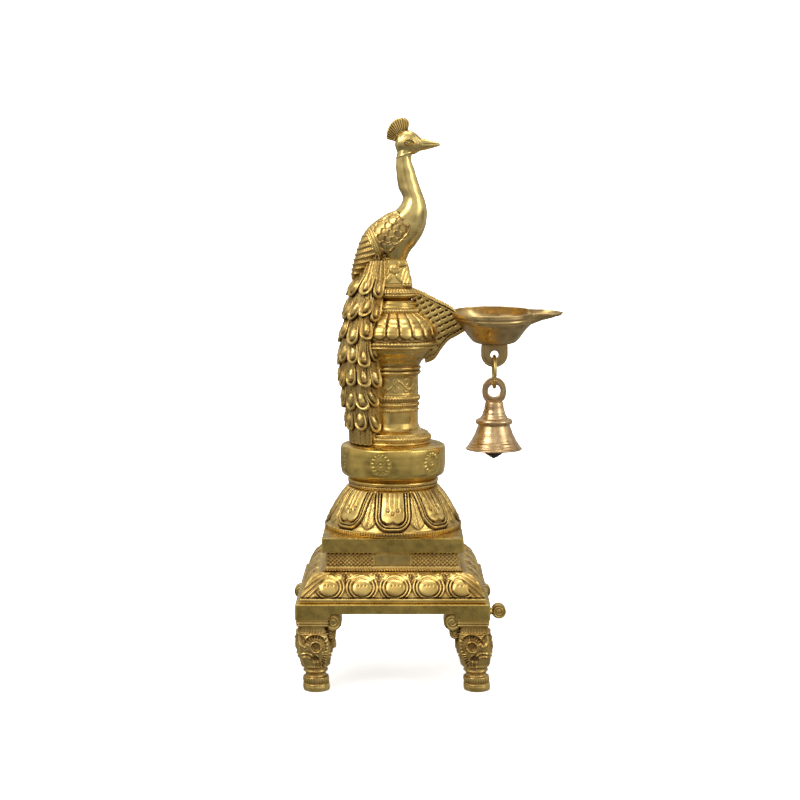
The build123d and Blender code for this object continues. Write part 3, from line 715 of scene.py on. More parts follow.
# ---- The stool ---------------------------------------------------------------------------------------
@dataclass
class StoolFrame:
    """The polished slab with its apron and corner blocks."""

    apron_bottom: float = 49.8
    apron_wall: float = 5.0
    slab: float = 3.0
    block: float = 21.5
    columns: int = 720

    def build(self) -> Piece:
        """Build the slab and its blocks.

        Returns:
            The dressed frame.
        """
        box = Extent.of("stool_frame")
        half, top, under = box.half_width, box.top, box.top - self.slab
        inner = half - self.apron_wall
        corner = half - self.block
        profile = [(0.0, under), (inner * 0.5, under), (inner - 0.5, under), (inner, under - 0.5)]
        profile += [(inner, self.apron_bottom + 0.4), (inner + 0.4, self.apron_bottom),
                    (half - 0.5, self.apron_bottom)]
        profile += [(half - 0.12, self.apron_bottom + 0.14), (half, self.apron_bottom + 0.5)]
        profile += [(half, self.apron_bottom + 0.5 + (box.top - self.apron_bottom - 1.0) * step / 8)
                    for step in range(1, 9)]
        profile += [(half - 0.12, top - 0.14), (half - 0.5, top), (half - 4.0, top), (half * 0.5, top),
                    (0.0, top)]

        def drop(along: Array, height: Array) -> Array:
            """Carry the apron down over the corner blocks."""
            share = ((np.abs(along) > corner)
                     * np.clip((top - 2.0 - height) / (top - 2.0 - self.apron_bottom), 0, 1))
            return height - share * (self.apron_bottom - box.bottom - 0.02)

        frame_piece = square_tier("stool_frame_skin", profile, self.columns, 150.0, drop)
        emboss(frame_piece, lambda points: np.minimum(0.0, 0.10 * wander(points, 34.0, 1.3) - 0.10))
        blocks = [self.corner_block(sx, sy, half, box.bottom, under) for sx in (-1, 1) for sy in (-1, 1)]
        piece = join_pieces("stool_frame_metal", [frame_piece, *blocks])
        return settle(piece, POLISHED, "polished_brass", "lamp", "stool_frame")

    def corner_block(self, side_x: int, side_y: int, half: float, bottom: float, top: float) -> Piece:
        """One corner block, just inside the apron's skin.

        Args:
            side_x: Which side along X, -1 or 1.
            side_y: Which side along Y, -1 or 1.
            half: Half of the slab's width.
            bottom: The block's lowest height.
            top: Its top.

        Returns:
            The block.
        """
        bm = bmesh.new()
        bmesh.ops.create_cube(bm, size=1.0)
        width = self.block - 0.3
        bmesh.ops.scale(bm, vec=(width * MM, width * MM, (top - bottom) * MM), verts=bm.verts)
        centre = half - 0.3 - width / 2
        bmesh.ops.translate(bm, vec=(side_x * centre * MM, side_y * centre * MM, (top + bottom) / 2 * MM),
                            verts=bm.verts)
        bmesh.ops.bevel(bm, geom=bm.edges[:], offset=0.35 * MM, segments=2, profile=0.5, affect="EDGES",
                        material=-1)
        return finish_mesh(bm, "corner_block")


@dataclass
class StoolLegs:
    """The four cast legs: a carved beast's head under a ribbed neck, on a round ringed foot."""

    half_widths: tuple[float, ...] = (8.1, 8.3, 8.2, 7.5, 7.7, 7.9, 7.3, 7.2, 7.6, 9.0, 10.2, 10.5, 10.3, 9.7,
                                      9.4, 9.4)
    heights: tuple[float, ...] = (0.0, 1.2, 3.2, 4.3, 5.4, 7.4, 8.6, 12.0, 15.5, 20.5, 25.0, 29.5, 34.0, 37.0,
                                  39.5, 41.6)
    pad_drop: float = 4.6
    volute_radius: float = 5.5
    volute_length: float = 14.0
    scroll_radius: float = 4.6
    scroll_y: float = 28.0
    scroll_length: float = 8.0
    columns: int = 168
    rows: int = 150

    def build(self) -> list[Piece]:
        """Build all four legs."""
        return [self.leg(name) for name in ("front_left", "front_right", "back_left", "back_right")]

    def leg(self, name: str) -> Piece:
        """One whole leg.

        Args:
            name: Which leg, such as front_left.

        Returns:
            The dressed leg.
        """
        node = f"leg_{name}"
        box = Extent.of(node)
        stool = Extent.of("stool_frame")
        side_x = -1 if name.endswith("left") else 1
        side_y = -1 if name.startswith("front") else 1
        centre = stool.half_width - StoolFrame.block / 2
        shift = 2.0 if side_x < 0 else 3.0
        pieces = [self.shaft(name, side_x, side_y, centre, shift, stool.bottom),
                  self.pad(name, side_x, side_y, centre)]
        volute_z = StoolFrame.apron_bottom - self.volute_radius + 0.1
        inner = centre - StoolFrame.block / 2 - 2.0
        front = centre + StoolFrame.block / 2 - 2.0 - self.volute_length / 2
        pieces.append(scroll("volute_a", (side_x * inner, side_y * front, volute_z), self.volute_radius - 0.1,
                             self.volute_length - 0.2, False))
        pieces.append(scroll("volute_b", (side_x * front, side_y * inner, volute_z), self.volute_radius - 0.1,
                             self.volute_length - 0.2, True))
        for name_end, x, y, along_x in (("c", inner + 1.9, front, False), ("d", front, inner + 1.9, True)):
            place = (side_x * x, side_y * y, volute_z - 7.4)
            pieces.append(scroll(f"volute_{name_end}", place, 3.7, self.volute_length - 3.0, along_x))
        reach = box.high[0] if side_x > 0 else -box.low[0]
        disc_x = reach - self.scroll_radius
        pieces.append(scroll("side_scroll", (side_x * disc_x, side_y * self.scroll_y, volute_z),
                             self.scroll_radius - 0.05, self.scroll_length - 0.2, False))
        pieces.append(self.bar(side_x, side_y, disc_x, stool.half_width, inner, volute_z))
        piece = join_pieces(f"{node}_metal", pieces)
        return settle(piece, CARVED, "carved_brass", "lamp", node)

    def bar(self, side_x: int, side_y: int, disc_x: float, half: float, inner: float, height: float
            ) -> Piece:
        """The leafy bar from a leg's volute out to its side scroll.

        Args:
            side_x: Which side along X.
            side_y: Which side along Y.
            disc_x: The middle of the scroll along X.
            half: Half of the slab's width.
            inner: Where the volute stands along Y.
            height: The bar's height above the floor.

        Returns:
            The bar.
        """
        start = half - self.volute_length

        def place(u: Array, v: Array) -> Array:
            """A rounded bar that bends from the volute to the scroll."""
            turn = TAU * u
            bow = np.sin(np.pi * np.clip(v, 0.0, 1.0)) ** 0.25
            x = start + (disc_x - start) * v
            y = inner + (self.scroll_y - inner) * (0.5 - 0.5 * np.cos(np.pi * v))
            size = 2.6 + 0.25 * np.sin(v * TAU * 5)
            return np.column_stack((side_x * x, side_y * (y + 3.4 * bow * np.cos(turn)),
                                    height + size * bow * np.sin(turn)))

        return bent_sheet("side_bar", 28, 44, place)

    def shaft(self, name: str, side_x: int, side_y: int, centre: float, shift: float, top: float
              ) -> Piece:
        """The leg from its sole to the pad, with the head carved on it.

        Args:
            name: Which leg.
            side_x: Which side along X.
            side_y: Which side along Y.
            centre: How far the leg stands from the middle along X and Y.
            shift: How far the sole stands along X from the pad.
            top: The top of the pad.

        Returns:
            The shaft.
        """
        crown = top - self.pad_drop + 0.4

        def place(u: Array, v: Array) -> Array:
            """Points of the shaft: the sole, the side and the hidden top."""
            height = np.clip((v - 0.04) / 0.92, 0.0, 1.0) * crown
            half = through(self.heights, self.half_widths, height)
            half = half * np.clip(v / 0.04, 0.0, 1.0) * np.clip((1.0 - v) / 0.04, 0.0, 1.0)
            square = 2.0 + 2.2 * soft_step(height, 16.0, 8.0)
            turn = TAU * u
            radius = half / (np.abs(np.cos(turn)) ** square + np.abs(np.sin(turn)) ** square) ** (1 / square)
            lean = through((0.0, 16.0, 23.0, 31.0, 42.0),
                           (shift, 0.65 * shift, 0.5 * shift, 0.25 * shift, 0.0), height)
            return np.column_stack((side_x * centre + lean + radius * np.cos(turn),
                                    side_y * centre + radius * np.sin(turn), height))

        def relief(u: Array, v: Array) -> Array:
            """The carving, the same on each face and mirrored so that the mane lies inwards."""
            height = np.clip((v - 0.04) / 0.92, 0.0, 1.0) * crown
            half = through(self.heights, self.half_widths, height)
            quarter = nearest(TAU * u, np.pi / 2)
            face = np.floor((TAU * u + np.pi / 4) / (np.pi / 2)).astype(int) % 4
            across = np.tan(quarter) * half
            toward_x = np.array([1, -1, -1, 1])[face]
            mirror = np.where(face % 2 == 1, -side_x, -side_y)
            inward = across * toward_x * mirror
            fade = 1.0 - soft_step(np.abs(quarter) / (np.pi / 4), 0.93, 0.14)
            body = soft_step(height, 15.5, 2.0) * (1.0 - soft_step(height, 37.4, 1.0))
            carved = 1.35 * body * fade * self.head(inward, height) - 0.35 * body
            return np.minimum(carved + self.rings(inward, height, TAU * u), 11.2 - half)

        return bent_sheet(f"{name}_shaft", self.columns, self.rows, place, relief, flip=True)

    def head(self, inward: Array, height: Array) -> Array:
        """The beast's head on one face.

        Args:
            inward: Place across the face, growing towards the lamp's middle.
            height: Height above the floor.

        Returns:
            Relief in millimetres.
        """
        dx, dz = inward - 1.6, height - 29.3
        out = np.hypot(dx, dz)
        turn = np.arctan2(dz, dx)
        eye = 1.15 * ridge(out, 2.7)
        socket = -0.75 * groove(out - 3.3, 0.5)
        brow = ((0.75 + 0.3 * np.cos(turn * 21)) * ridge(out - 5.7, 1.7)
                * soft_step(np.sin(turn + 0.5), -0.1, 0.5))
        brow_line = -0.5 * groove(out - 7.7, 0.45) * soft_step(np.sin(turn + 0.4), -0.1, 0.5)
        mane_out = np.hypot(inward + 1.0, height - 25.0)
        mane_turn = np.arctan2(height - 25.0, inward + 1.0)
        mane_on = soft_step(inward, 4.6, 1.6) * (1 - soft_step(height, 35.0, 2.0))
        mane = mane_on * (0.35 + 0.38 * np.cos(mane_turn * 34)) * soft_step(mane_out, 6.6, 1.4)
        leaf_x = (inward + 6.9) * 0.88 + (height - 33.2) * 0.48
        leaf_z = -(inward + 6.9) * 0.48 + (height - 33.2) * 0.88
        leaf_reach = np.abs(leaf_x) / 2.3 + (leaf_z / 4.4) ** 2
        leaf = 0.95 * np.sqrt(np.clip(1 - leaf_reach, 0, 1)) - 0.55 * groove(leaf_x, 0.35) * (leaf_reach < 1)
        leaf_edge = -0.6 * groove(leaf_reach - 1.18, 0.16)
        jaw = np.zeros_like(out)
        for radius, line in ((5.4, 0.42), (7.6, 0.42), (9.6, 0.4)):
            arc = np.hypot(inward + 5.4, height - 17.6) - radius
            jaw -= (0.65 * groove(arc, line) * (1 - soft_step(height, 26.0, 2.0))
                    * (1 - soft_step(inward, 4.4, 1.0)))
        snout_x, snout_z = inward - 0.6, height - 21.6
        snout = 0.9 * ridge(np.hypot(snout_x / 3.0, snout_z / 2.2), 1.0)
        cheek = 0.55 * ridge(np.hypot((inward + 3.6) / 2.0, (height - 24.6) / 2.6), 1.0)
        pits = 0.16 * np.cos(inward * 4.1) * np.cos(height * 3.7)
        return eye + socket + brow + brow_line + mane + leaf + leaf_edge + jaw + snout + cheek + pits

    def rings(self, inward: Array, height: Array, turn: Array) -> Array:
        """The ribs of the neck and the rings of the foot.

        Args:
            inward: Place across the face.
            height: Height above the floor.
            turn: Angle round the leg.

        Returns:
            Relief in millimetres.
        """
        neck_on = soft_step(height, 37.6, 0.6) * (1 - soft_step(height, 41.0, 0.6))
        neck = neck_on * (0.5 * np.abs(np.cos(inward * np.pi / 1.75)) - 0.1)
        milled_on = soft_step(height, 4.5, 0.5) * (1 - soft_step(height, 7.6, 0.5))
        milled = milled_on * (0.28 * np.cos(turn * 30))
        lips = -0.65 * groove(height - 4.0, 0.42) - 0.6 * groove(height - 8.2, 0.42)
        tongue = (0.75 * ridge(height - 10.3, 1.5) - 0.5 * groove(height - 12.6, 0.5)
                  + 0.4 * ridge(height - 14.2, 1.1))
        shoulder = -0.6 * groove(height - 16.0, 0.6) - 0.55 * groove(height - 37.1, 0.45)
        return neck + milled + lips + tongue + shoulder

    def pad(self, name: str, side_x: int, side_y: int, centre: float) -> Piece:
        """The flat pad under the corner block, with two lines cut round it.

        Args:
            name: Which leg.
            side_x: Which side along X.
            side_y: Which side along Y.
            centre: How far the leg stands from the middle along X and Y.

        Returns:
            The pad.
        """
        half = StoolFrame.block / 2 - 0.5
        top = Extent.of("stool_frame").bottom
        bottom = top - self.pad_drop
        outline = [(0.0, bottom), (half - 1.6, bottom), (half - 0.9, bottom + 0.15),
                   (half - 0.5, bottom + 0.6)]
        outline += [(half - 0.15, bottom + 1.0), (half - 0.4, bottom + 1.7), (half - 0.75, bottom + 1.95)]
        outline += [(half - 0.1, bottom + 2.3), (half, bottom + 2.9), (half - 0.3, bottom + 3.3)]
        outline += [(half - 0.65, bottom + 3.5), (half - 0.1, bottom + 3.8), (half, bottom + 4.3),
                    (half - 0.3, top)]
        outline += [(0.0, top)]
        piece = square_tier(f"{name}_pad", outline, 72, 16.0)
        points = read_points(piece.data)
        write_points(piece.data, points + np.array((side_x * centre, side_y * centre, 0.0)))
        return piece


# ---- The square tiers --------------------------------------------------------------------------------
@dataclass
class SquareTiers:
    """The carved cushion on its step, the lattice plinth and the plain top plate."""

    step_half: float = 57.7
    step_height: float = 3.3
    cushion_half: float = 56.3
    cushion_top_half: float = 46.0
    medallion_pitch: float = 20.6
    medallion_shift: float = 1.6
    bead_half: float = 44.0
    bead_height: float = 1.4
    columns: int = 900

    def build(self) -> list[Piece]:
        """Build the three tiers."""
        return [self.cushion(), self.lattice(), self.plate()]

    def cushion(self) -> Piece:
        """The cushion with its row of round medallions on each side.

        Returns:
            The dressed cushion.
        """
        box = Extent.of("carved_cushion")
        low, top = box.bottom, box.top
        step = low + self.step_height
        profile = [(0.0, low), (self.step_half - 0.6, low), (self.step_half - 0.1, low + 0.3),
                   (self.step_half, low + 0.9), (self.step_half, low + 2.2),
                   (self.step_half - 0.25, step - 0.3),
                   (self.step_half - 0.8, step - 0.05), (self.cushion_half - 0.7, step)]
        rows = 46
        for row in range(rows + 1):
            t = row / rows
            bow = math.sin(math.pi * t) * 1.9
            half = 56.7 - 11.0 * t ** 1.6
            profile.append((half + bow * 0.35, step + 0.35 + (top - step - 0.35)
                            * (t - 0.06 * math.sin(TAU * t))))
        profile += [(self.cushion_top_half - 1.0, top), (self.cushion_top_half * 0.5, top), (0.0, top)]
        piece = square_tier("carved_cushion_metal", profile, self.columns, 150.0)

        def carving(points: Array) -> Array:
            """The medallions, their frames and the leaves between them."""
            along, out = side_place(points)
            height = points[:, 2] - step
            span = top - step
            face = soft_step(height, 0.6, 0.6) * (1 - soft_step(height, span - 0.5, 0.6)) * (out > 44.0)
            swell = height * 1.22
            centre = 7.4
            index = np.clip(np.round((along - self.medallion_shift) / self.medallion_pitch), -2, 2)
            near = along - self.medallion_shift - index * self.medallion_pitch
            up = swell - centre
            reach = np.hypot(near, up)
            open_top = 1 - soft_step(up - 0.35 * np.abs(near), 2.6, 1.6)
            button = 0.9 * (1 - np.clip(reach / 6.4, 0, 1) ** 4) - 0.25
            pits = sum(groove(np.hypot(near - x, up - 1.0), 0.5) for x in (-2.2, 0.0, 2.2))
            ring = 0.8 * ridge(reach - 7.5, 0.8) - 0.8 * groove(reach - 6.4, 0.4)
            outer = (0.8 * ridge(reach - 9.3, 0.75) - 0.85 * groove(reach - 8.4, 0.36)) * open_top
            medallion = np.where(reach < 6.2, button - 0.9 * pits, ring * np.maximum(open_top, 0.35) + outer)
            inside = 1 - soft_step(reach, 10.1, 0.4)
            fan = np.arctan2(up - 5.6, np.abs(near) - 10.3)
            leaf = 0.5 * np.cos(fan * 13) + 0.05 - 0.6 * groove(np.abs(near) - 10.2, 0.35)
            between = leaf * soft_step(reach, 10.2, 0.5)
            corner = soft_step(np.abs(along), out - 8.5, 0.7)
            corner_leaf = (0.55 * np.cos((np.abs(along) - out) * 1.6 + up * 0.9)
                           - 0.5 * groove(np.abs(along) - out + 8.5, 0.5))
            top_scallop = 0.28 * np.cos(along * TAU / 2.3) * soft_step(height, span - 2.4, 0.5)
            work = inside * medallion + between + top_scallop * (1 - inside)
            return face * ((1 - corner) * work + corner * corner_leaf) - 0.25 * groove(height, 0.35)

        emboss(piece, carving)
        emboss(piece, lambda points: 0.07 * wander(points, 9.0, 4.1) - 0.05)
        return settle(piece, CARVED, "carved_brass", "lamp", "carved_cushion")

    def lattice(self) -> Piece:
        """The plinth of lattice and plain panels over its bead course.

        Returns:
            The dressed plinth.
        """
        box = Extent.of("lattice_plinth")
        low, top, half = box.bottom, box.top, 41.75
        bead_top = low + self.bead_height
        profile = [(0.0, low), (self.bead_half - 1.0, low), (self.bead_half - 0.3, low + 0.25)]
        profile += [(self.bead_half, low + 0.7), (self.bead_half - 0.3, bead_top - 0.2),
                    (self.bead_half - 0.9, bead_top)]
        profile += [(half + 0.9, bead_top + 0.05), (half + 0.45, bead_top + 0.5),
                    (half - 0.1, bead_top + 0.9)]
        profile += [(half - 0.1, bead_top + 0.9 + (top - bead_top - 1.4) * step / 40)
                    for step in range(1, 41)]
        profile += [(half - 0.1, top), (half * 0.5, top), (0.0, top)]
        piece = square_tier("lattice_plinth_metal", profile, 960, 150.0)

        def carving(points: Array) -> Array:
            """The panels of one side."""
            along, out = side_place(points)
            height = points[:, 2]
            side = (soft_step(height, bead_top + 1.3, 0.5) * (1 - soft_step(height, top - 0.5, 0.4))
                    * (out > half - 1))
            near = np.abs(along + 0.3)
            panel = soft_step(near, 12.3, 0.3) * (1 - soft_step(near, half - 1.3, 0.3))
            pitch = 2.6
            first = nearest(along + height * 1.05, pitch)
            second = nearest(along - height * 1.05, pitch)
            mesh = 0.55 * np.maximum(ridge(first, 0.5), ridge(second, 0.5)) - 0.62
            knots = 0.22 * groove(np.hypot(first, second), 0.5)
            posts = -0.5 * (groove(near - 10.8, 0.22) + groove(near - 12.0, 0.22))
            ladder = 0.12 * np.cos(height * TAU / 1.3) * groove(near - 11.4, 0.45)
            plain = 0.10 * wander(points, 11.0, 2.2) * (1 - panel)
            frame_line = (-0.35 * groove(height - top + 1.1, 0.25)
                          - 0.3 * groove(height - bead_top - 1.5, 0.25))
            bead_on = (1 - soft_step(height, bead_top + 0.1, 0.2)) * (out > self.bead_half - 1.2)
            bead_row = bead_on * (0.34 * np.cos(along * TAU / 1.7) - 0.3)
            return side * (panel * (mesh + knots) + posts + ladder + plain + frame_line) + bead_row

        emboss(piece, carving)
        return settle(piece, CARVED, "carved_brass", "lamp", "lattice_plinth")

    def plate(self) -> Piece:
        """The plain plate, left slightly uneven by hand filing.

        Returns:
            The dressed plate.
        """
        box = Extent.of("top_plate")
        low, top, half = box.bottom, box.top, box.half_width
        profile = [(0.0, low), (half - 0.5, low), (half - 0.1, low + 0.1), (half, low + 0.4)]
        profile += [(half, low + 0.4 + (top - low - 0.7) * step / 14) for step in range(1, 15)]
        profile += [(half - 0.1, top - 0.08), (half - 0.35, top)]
        profile += [(half - 0.35 - step * 1.5, top) for step in range(1, 8)] + [(0.0, top)]
        piece = square_tier("top_plate_metal", profile, 560, 150.0)

        def filed(points: Array) -> Array:
            """Shallow flats and waves along the edge."""
            _, out = side_place(points)
            near_edge = soft_step(out, half - 4.0, 3.0)
            return near_edge * (0.16 * wander(points, 27.0, 0.7) + 0.05 * wander(points, 7.0, 1.9) - 0.2)

        emboss(piece, filed)
        return settle(piece, POLISHED, "polished_brass", "lamp", "top_plate")


# ---- The round tiers ---------------------------------------------------------------------------------
@dataclass
class LotusDome:
    """The dome of eight framed petals and the collar over it."""

    petals: int = 8
    steps: int = 600
    frame_low: float = 12.1
    frame_high: float = 10.4

    def build(self) -> list[Piece]:
        """Build the dome and its collar."""
        return [self.dome(), self.collar()]

    def dome(self) -> Piece:
        """The petalled dome.

        Returns:
            The dressed dome.
        """
        box = Extent.of("lotus_dome")
        low, top, rim = box.bottom, box.top, box.half_width
        profile = profile_of((23.0, low), (rim - 1.3, low, 0.0), (rim - 0.6, low + 0.4, 0.1),
                             (rim - 0.5, low + 2.6, 0.0),
                             (rim - 1.3, low + 3.4, 0.15), (rim - 2.4, low + 5.4, 0.1),
                             (rim - 5.9, low + 12.4, 0.35),
                             (rim - 8.6, low + 17.2, 0.12), (rim - 12.6, low + 23.1, 0.1),
                             (28.9, top - 0.2, 0.0), (23.0, top, 0.0), pitch=0.5)
        piece = turned("lotus_dome_metal", profile, self.steps)

        def carving(points: Array) -> Array:
            """The eight petals, the leaves between them and the milled rim."""
            turn, radius = polar(points)
            height = points[:, 2]
            rise = height - low
            spacing = TAU / self.petals
            near = nearest(turn, spacing) * radius
            half = self.frame_low + (self.frame_high - self.frame_low) * np.clip(rise / 26.5, 0, 1)
            on_side = soft_step(rise, 3.6, 0.5) * (1 - soft_step(rise, 26.3, 0.5)) * (radius > 26)
            frame_edge = rounded_box(near, rise - 32.3, half, 28.2, 9.0)
            outer = 0.95 * ridge(frame_edge + 0.8, 0.8)
            inner = (0.72 + 0.22 * np.cos((rise + near) * TAU / 1.5)) * ridge(frame_edge + 2.45, 0.68)
            gaps = (-0.9 * (groove(frame_edge + 1.65, 0.26) + groove(frame_edge + 3.5, 0.42)
                            + groove(frame_edge - 0.3, 0.34)))
            wave = 8.7 + 0.8 * np.cos(near * TAU / 5.6)
            tongue_on = (frame_edge < -3.8) * soft_step(rise, wave, 0.6)
            tongue = tongue_on * (0.45 + 0.4 * ridge(near, 8.5))
            drops = np.zeros_like(near)
            for across, end in ((-3.1, 16.0), (0.0, 14.0), (3.1, 16.0)):
                stem = groove(near - across, 0.40) * soft_step(rise, end + 0.8, 0.8)
                bulb = groove(np.hypot((near - across) / 0.85, rise - end) - 1.0, 0.36)
                drops -= 0.85 * np.maximum(stem * 0.8, bulb)
            lens = np.hypot(near / 8.6, (rise - 6.1 - 0.3 * (near / 8.6) ** 2) / 1.9)
            lip = 0.95 * ridge(lens, 1.0) - 0.75 * groove(lens - 1.12, 0.16)
            side = (nearest(turn, spacing, spacing / 2)) * radius
            room = np.maximum(radius * spacing / 2 - half - 0.7, 0.5)
            leaf_reach = np.abs(side) / room
            point = soft_step(rise - 4.4 - 2.4 * leaf_reach ** 2, 0.4, 0.8)
            pitted = 0.16 * np.cos(side * 3.9 + 1.3 * np.cos(rise * 2.1)) * np.cos(rise * 3.3)
            leaf = (point * (0.5 * np.sqrt(np.clip(1 - leaf_reach ** 2, 0, 1)) + 1.8 * pitted
                             - 0.7 * groove(side, 0.35)) - 0.5 * (1 - point))
            work = (np.where(frame_edge > 0, leaf, outer + inner + tongue + tongue_on * drops
                             + lip * (frame_edge < -3.2)) + gaps)
            milled = ((rise > 0.9) * (1 - soft_step(rise, 2.9, 0.5)) * (radius > 40)
                      * (0.42 * np.cos(turn * 150) - 0.1))
            lines = -0.5 * (groove(rise - 3.4, 0.3) + groove(rise - 0.8, 0.3)) * (radius > 40)
            return on_side * work + milled + lines + on_side * 0.08 * wander(points, 7.0, 3.3) - 0.1 * on_side

        emboss(piece, carving)
        return settle(piece, CARVED, "carved_brass", "lamp", "lotus_dome")

    def collar(self) -> Piece:
        """The rounded collar with its partly milled lower edge.

        Returns:
            The dressed collar.
        """
        box = Extent.of("lotus_collar")
        low, top = box.bottom, box.top
        profile = profile_of((12.0, low), (27.9, low, 0.0), (28.9, low + 0.9, 0.25), (28.7, low + 1.9, 0.2),
                             (28.2, low + 2.3, 0.0), (29.3, low + 3.3, 0.3), (28.6, low + 4.9, 0.35),
                             (27.4, top - 0.6, 0.0), (27.2, top, 0.0), (12.0, top, 0.0), pitch=0.4)
        piece = turned("lotus_collar_metal", profile, 420)

        def milling(points: Array) -> Array:
            """Close beads on the lower ring, worn away here and there."""
            turn, radius = polar(points)
            kept = 0.35 + 0.65 * soft_step(np.sin(turn * 2.3 + 0.9) + 0.4 * np.sin(turn * 7.0), -0.3, 0.9)
            ring = (radius > 27) * (points[:, 2] > low + 0.2) * (1 - soft_step(points[:, 2], low + 2.0, 0.5))
            return (ring * kept * (0.35 * np.cos(turn * 118) - 0.25) + 0.05 * wander(points, 8.0, 5.0)
                    * (radius > 27))

        emboss(piece, milling)
        return settle(piece, CARVED, "carved_brass", "lamp", "lotus_collar")


@dataclass
class BellyBand:
    """The polished belly with its punched rosettes."""

    rosettes: int = 6
    first_turn: float = math.radians(-13.0)
    rosette_radius: float = 5.6
    dots: int = 14

    def build(self) -> Piece:
        """Build the belly.

        Returns:
            The dressed belly.
        """
        box = Extent.of("belly_band")
        low, top, wide = box.bottom, box.top, box.half_width
        profile = profile_of((20.0, low), (28.6, low, 0.0), (31.4, low + 0.8, 0.1), (33.2, low + 2.4, 0.2),
                             (wide - 0.25, low + 5.6, 0.15), (wide - 0.05, low + 10.5, 0.1),
                             (wide - 0.1, low + 15.0, 0.05),
                             (wide - 0.4, low + 18.9, 0.1), (wide - 1.1, low + 20.4, 0.18),
                             (wide - 4.0, low + 21.5, 0.12), (26.4, top, 0.0), (20.0, top, 0.0), pitch=0.4)
        piece = turned("belly_band_metal", profile, 440)

        def punched(points: Array) -> Array:
            """The rings of raised dots, on a surface that the file left a little uneven."""
            turn, radius = polar(points)
            near = nearest(turn, TAU / self.rosettes, self.first_turn) * radius
            up = points[:, 2] - low - 11.6
            reach = np.hypot(near, up)
            round_turn = nearest(np.arctan2(up, near), TAU / self.dots) * self.rosette_radius
            ring = ridge(np.hypot(round_turn, reach - self.rosette_radius), 0.72)
            ring_in = ridge(np.hypot(nearest(np.arctan2(up, near), TAU / 8) * 2.1, reach - 2.1), 0.5)
            middle = ridge(reach, 0.7)
            hollow = -0.30 * (groove(reach - self.rosette_radius, 0.9) + groove(reach, 1.6))
            work = (0.55 * np.maximum(np.maximum(ring, middle), 0.6 * ring_in) + hollow) * (radius > 30)
            uneven = 0.16 * wander(points, 31.0, 2.6) + 0.05 * wander(points, 12.0, 0.4) - 0.2
            return work + uneven * (radius > 27)

        emboss(piece, punched)
        return settle(piece, POLISHED, "polished_brass", "lamp", "belly_band")


@dataclass
class Pillar:
    """The turned pillar: beaded foot, shaft, pearl ring, engraved band, grooved rings and capital."""

    foot_beads: int = 76
    pearls: int = 56

    def build(self) -> Piece:
        """Build the pillar.

        Returns:
            The dressed pillar.
        """
        box = Extent.of("pillar")
        low, top = box.bottom, box.top
        profile = profile_of(
            (8.0, low), (24.4, low, 0.0), (24.6, low + 1.0, 0.2), (24.0, low + 1.7, 0.0),
            (24.8, low + 2.9, 0.25),
            (24.6, low + 4.6, 0.2), (23.2, low + 5.5, 0.1), (22.9, low + 5.8, 0.0), (22.6, low + 6.9, 0.25),
            (20.0, low + 7.9, -0.1), (17.9, low + 9.0, -0.3), (16.7, low + 11.4, -0.2),
            (16.3, low + 13.0, 0.0),
            (16.3, low + 20.6, 0.0), (16.9, low + 21.3, 0.1), (16.4, low + 22.0, 0.1),
            (16.3, low + 23.4, 0.0),
            (17.1, low + 24.2, 0.2), (17.1, low + 25.4, 0.2), (16.4, low + 26.1, 0.0),
            (16.5, low + 26.9, 0.0),
            (17.3, low + 27.8, 0.25), (17.3, low + 30.0, 0.3), (16.4, low + 31.0, 0.0),
            (16.5, low + 31.8, 0.0),
            (16.4, low + 43.0, -0.12), (16.7, low + 43.9, 0.0), (17.8, low + 44.6, 0.2),
            (17.8, low + 46.2, 0.3),
            (16.9, low + 46.8, 0.0), (17.9, low + 47.5, 0.2), (17.9, low + 49.0, 0.3),
            (17.0, low + 49.7, 0.0),
            (17.8, low + 50.5, 0.0), (20.0, low + 53.6, -0.35), (22.9, low + 57.4, -0.25),
            (24.3, low + 59.4, 0.1), (24.5, top - 0.3, 0.0), (24.0, top, 0.0), (8.0, top, 0.0), pitch=0.55)
        piece = turned("pillar_metal", profile, 460)

        def carving(points: Array) -> Array:
            """The beads, the pearls and the shallow foliage of the engraved band."""
            turn, radius = polar(points)
            rise = points[:, 2] - low
            outside = radius > 15.0
            foot = (1 - soft_step(np.abs(rise - 3.7), 1.5, 0.4)) * (radius > 22) * (
                0.5 * np.abs(np.cos(turn * self.foot_beads / 2)) - 0.42)
            pearl = (1 - soft_step(np.abs(rise - 28.9), 1.5, 0.4)) * (
                0.62 * np.abs(np.cos(turn * self.pearls / 2)) - 0.45)
            small = (1 - soft_step(np.abs(rise - 24.8), 0.9, 0.3)) * (0.4 * np.abs(np.cos(turn * 40)) - 0.3)
            seam = (1 - soft_step(np.abs(rise - 21.3), 0.5, 0.3)) * (0.2 * np.cos(turn * 70) - 0.1)
            band = soft_step(rise, 32.2, 0.6) * (1 - soft_step(rise, 42.6, 0.6))
            along = turn * 16.5
            stem = rise - 37.4 - 2.6 * np.sin(along * TAU / 15.0)
            bough = 0.26 * ridge(stem, 0.55)
            curl = np.hypot(nearest(along, 7.5, 1.9), np.abs(rise - 37.4) - 2.3)
            leaves = 0.22 * ridge(curl - 1.7, 0.5) + 0.18 * ridge(curl, 0.8)
            cuts = 0.07 * np.cos(along * 2.3 + rise * 1.9) * np.cos(rise * 2.7)
            engraved = band * (bough + leaves + cuts - 0.24)
            return (outside * (foot + pearl + small + seam + engraved + 0.04 * wander(points, 14.0, 1.1)
                               - 0.04))

        emboss(piece, carving)
        return settle(piece, CARVED, "carved_brass", "lamp", "pillar")


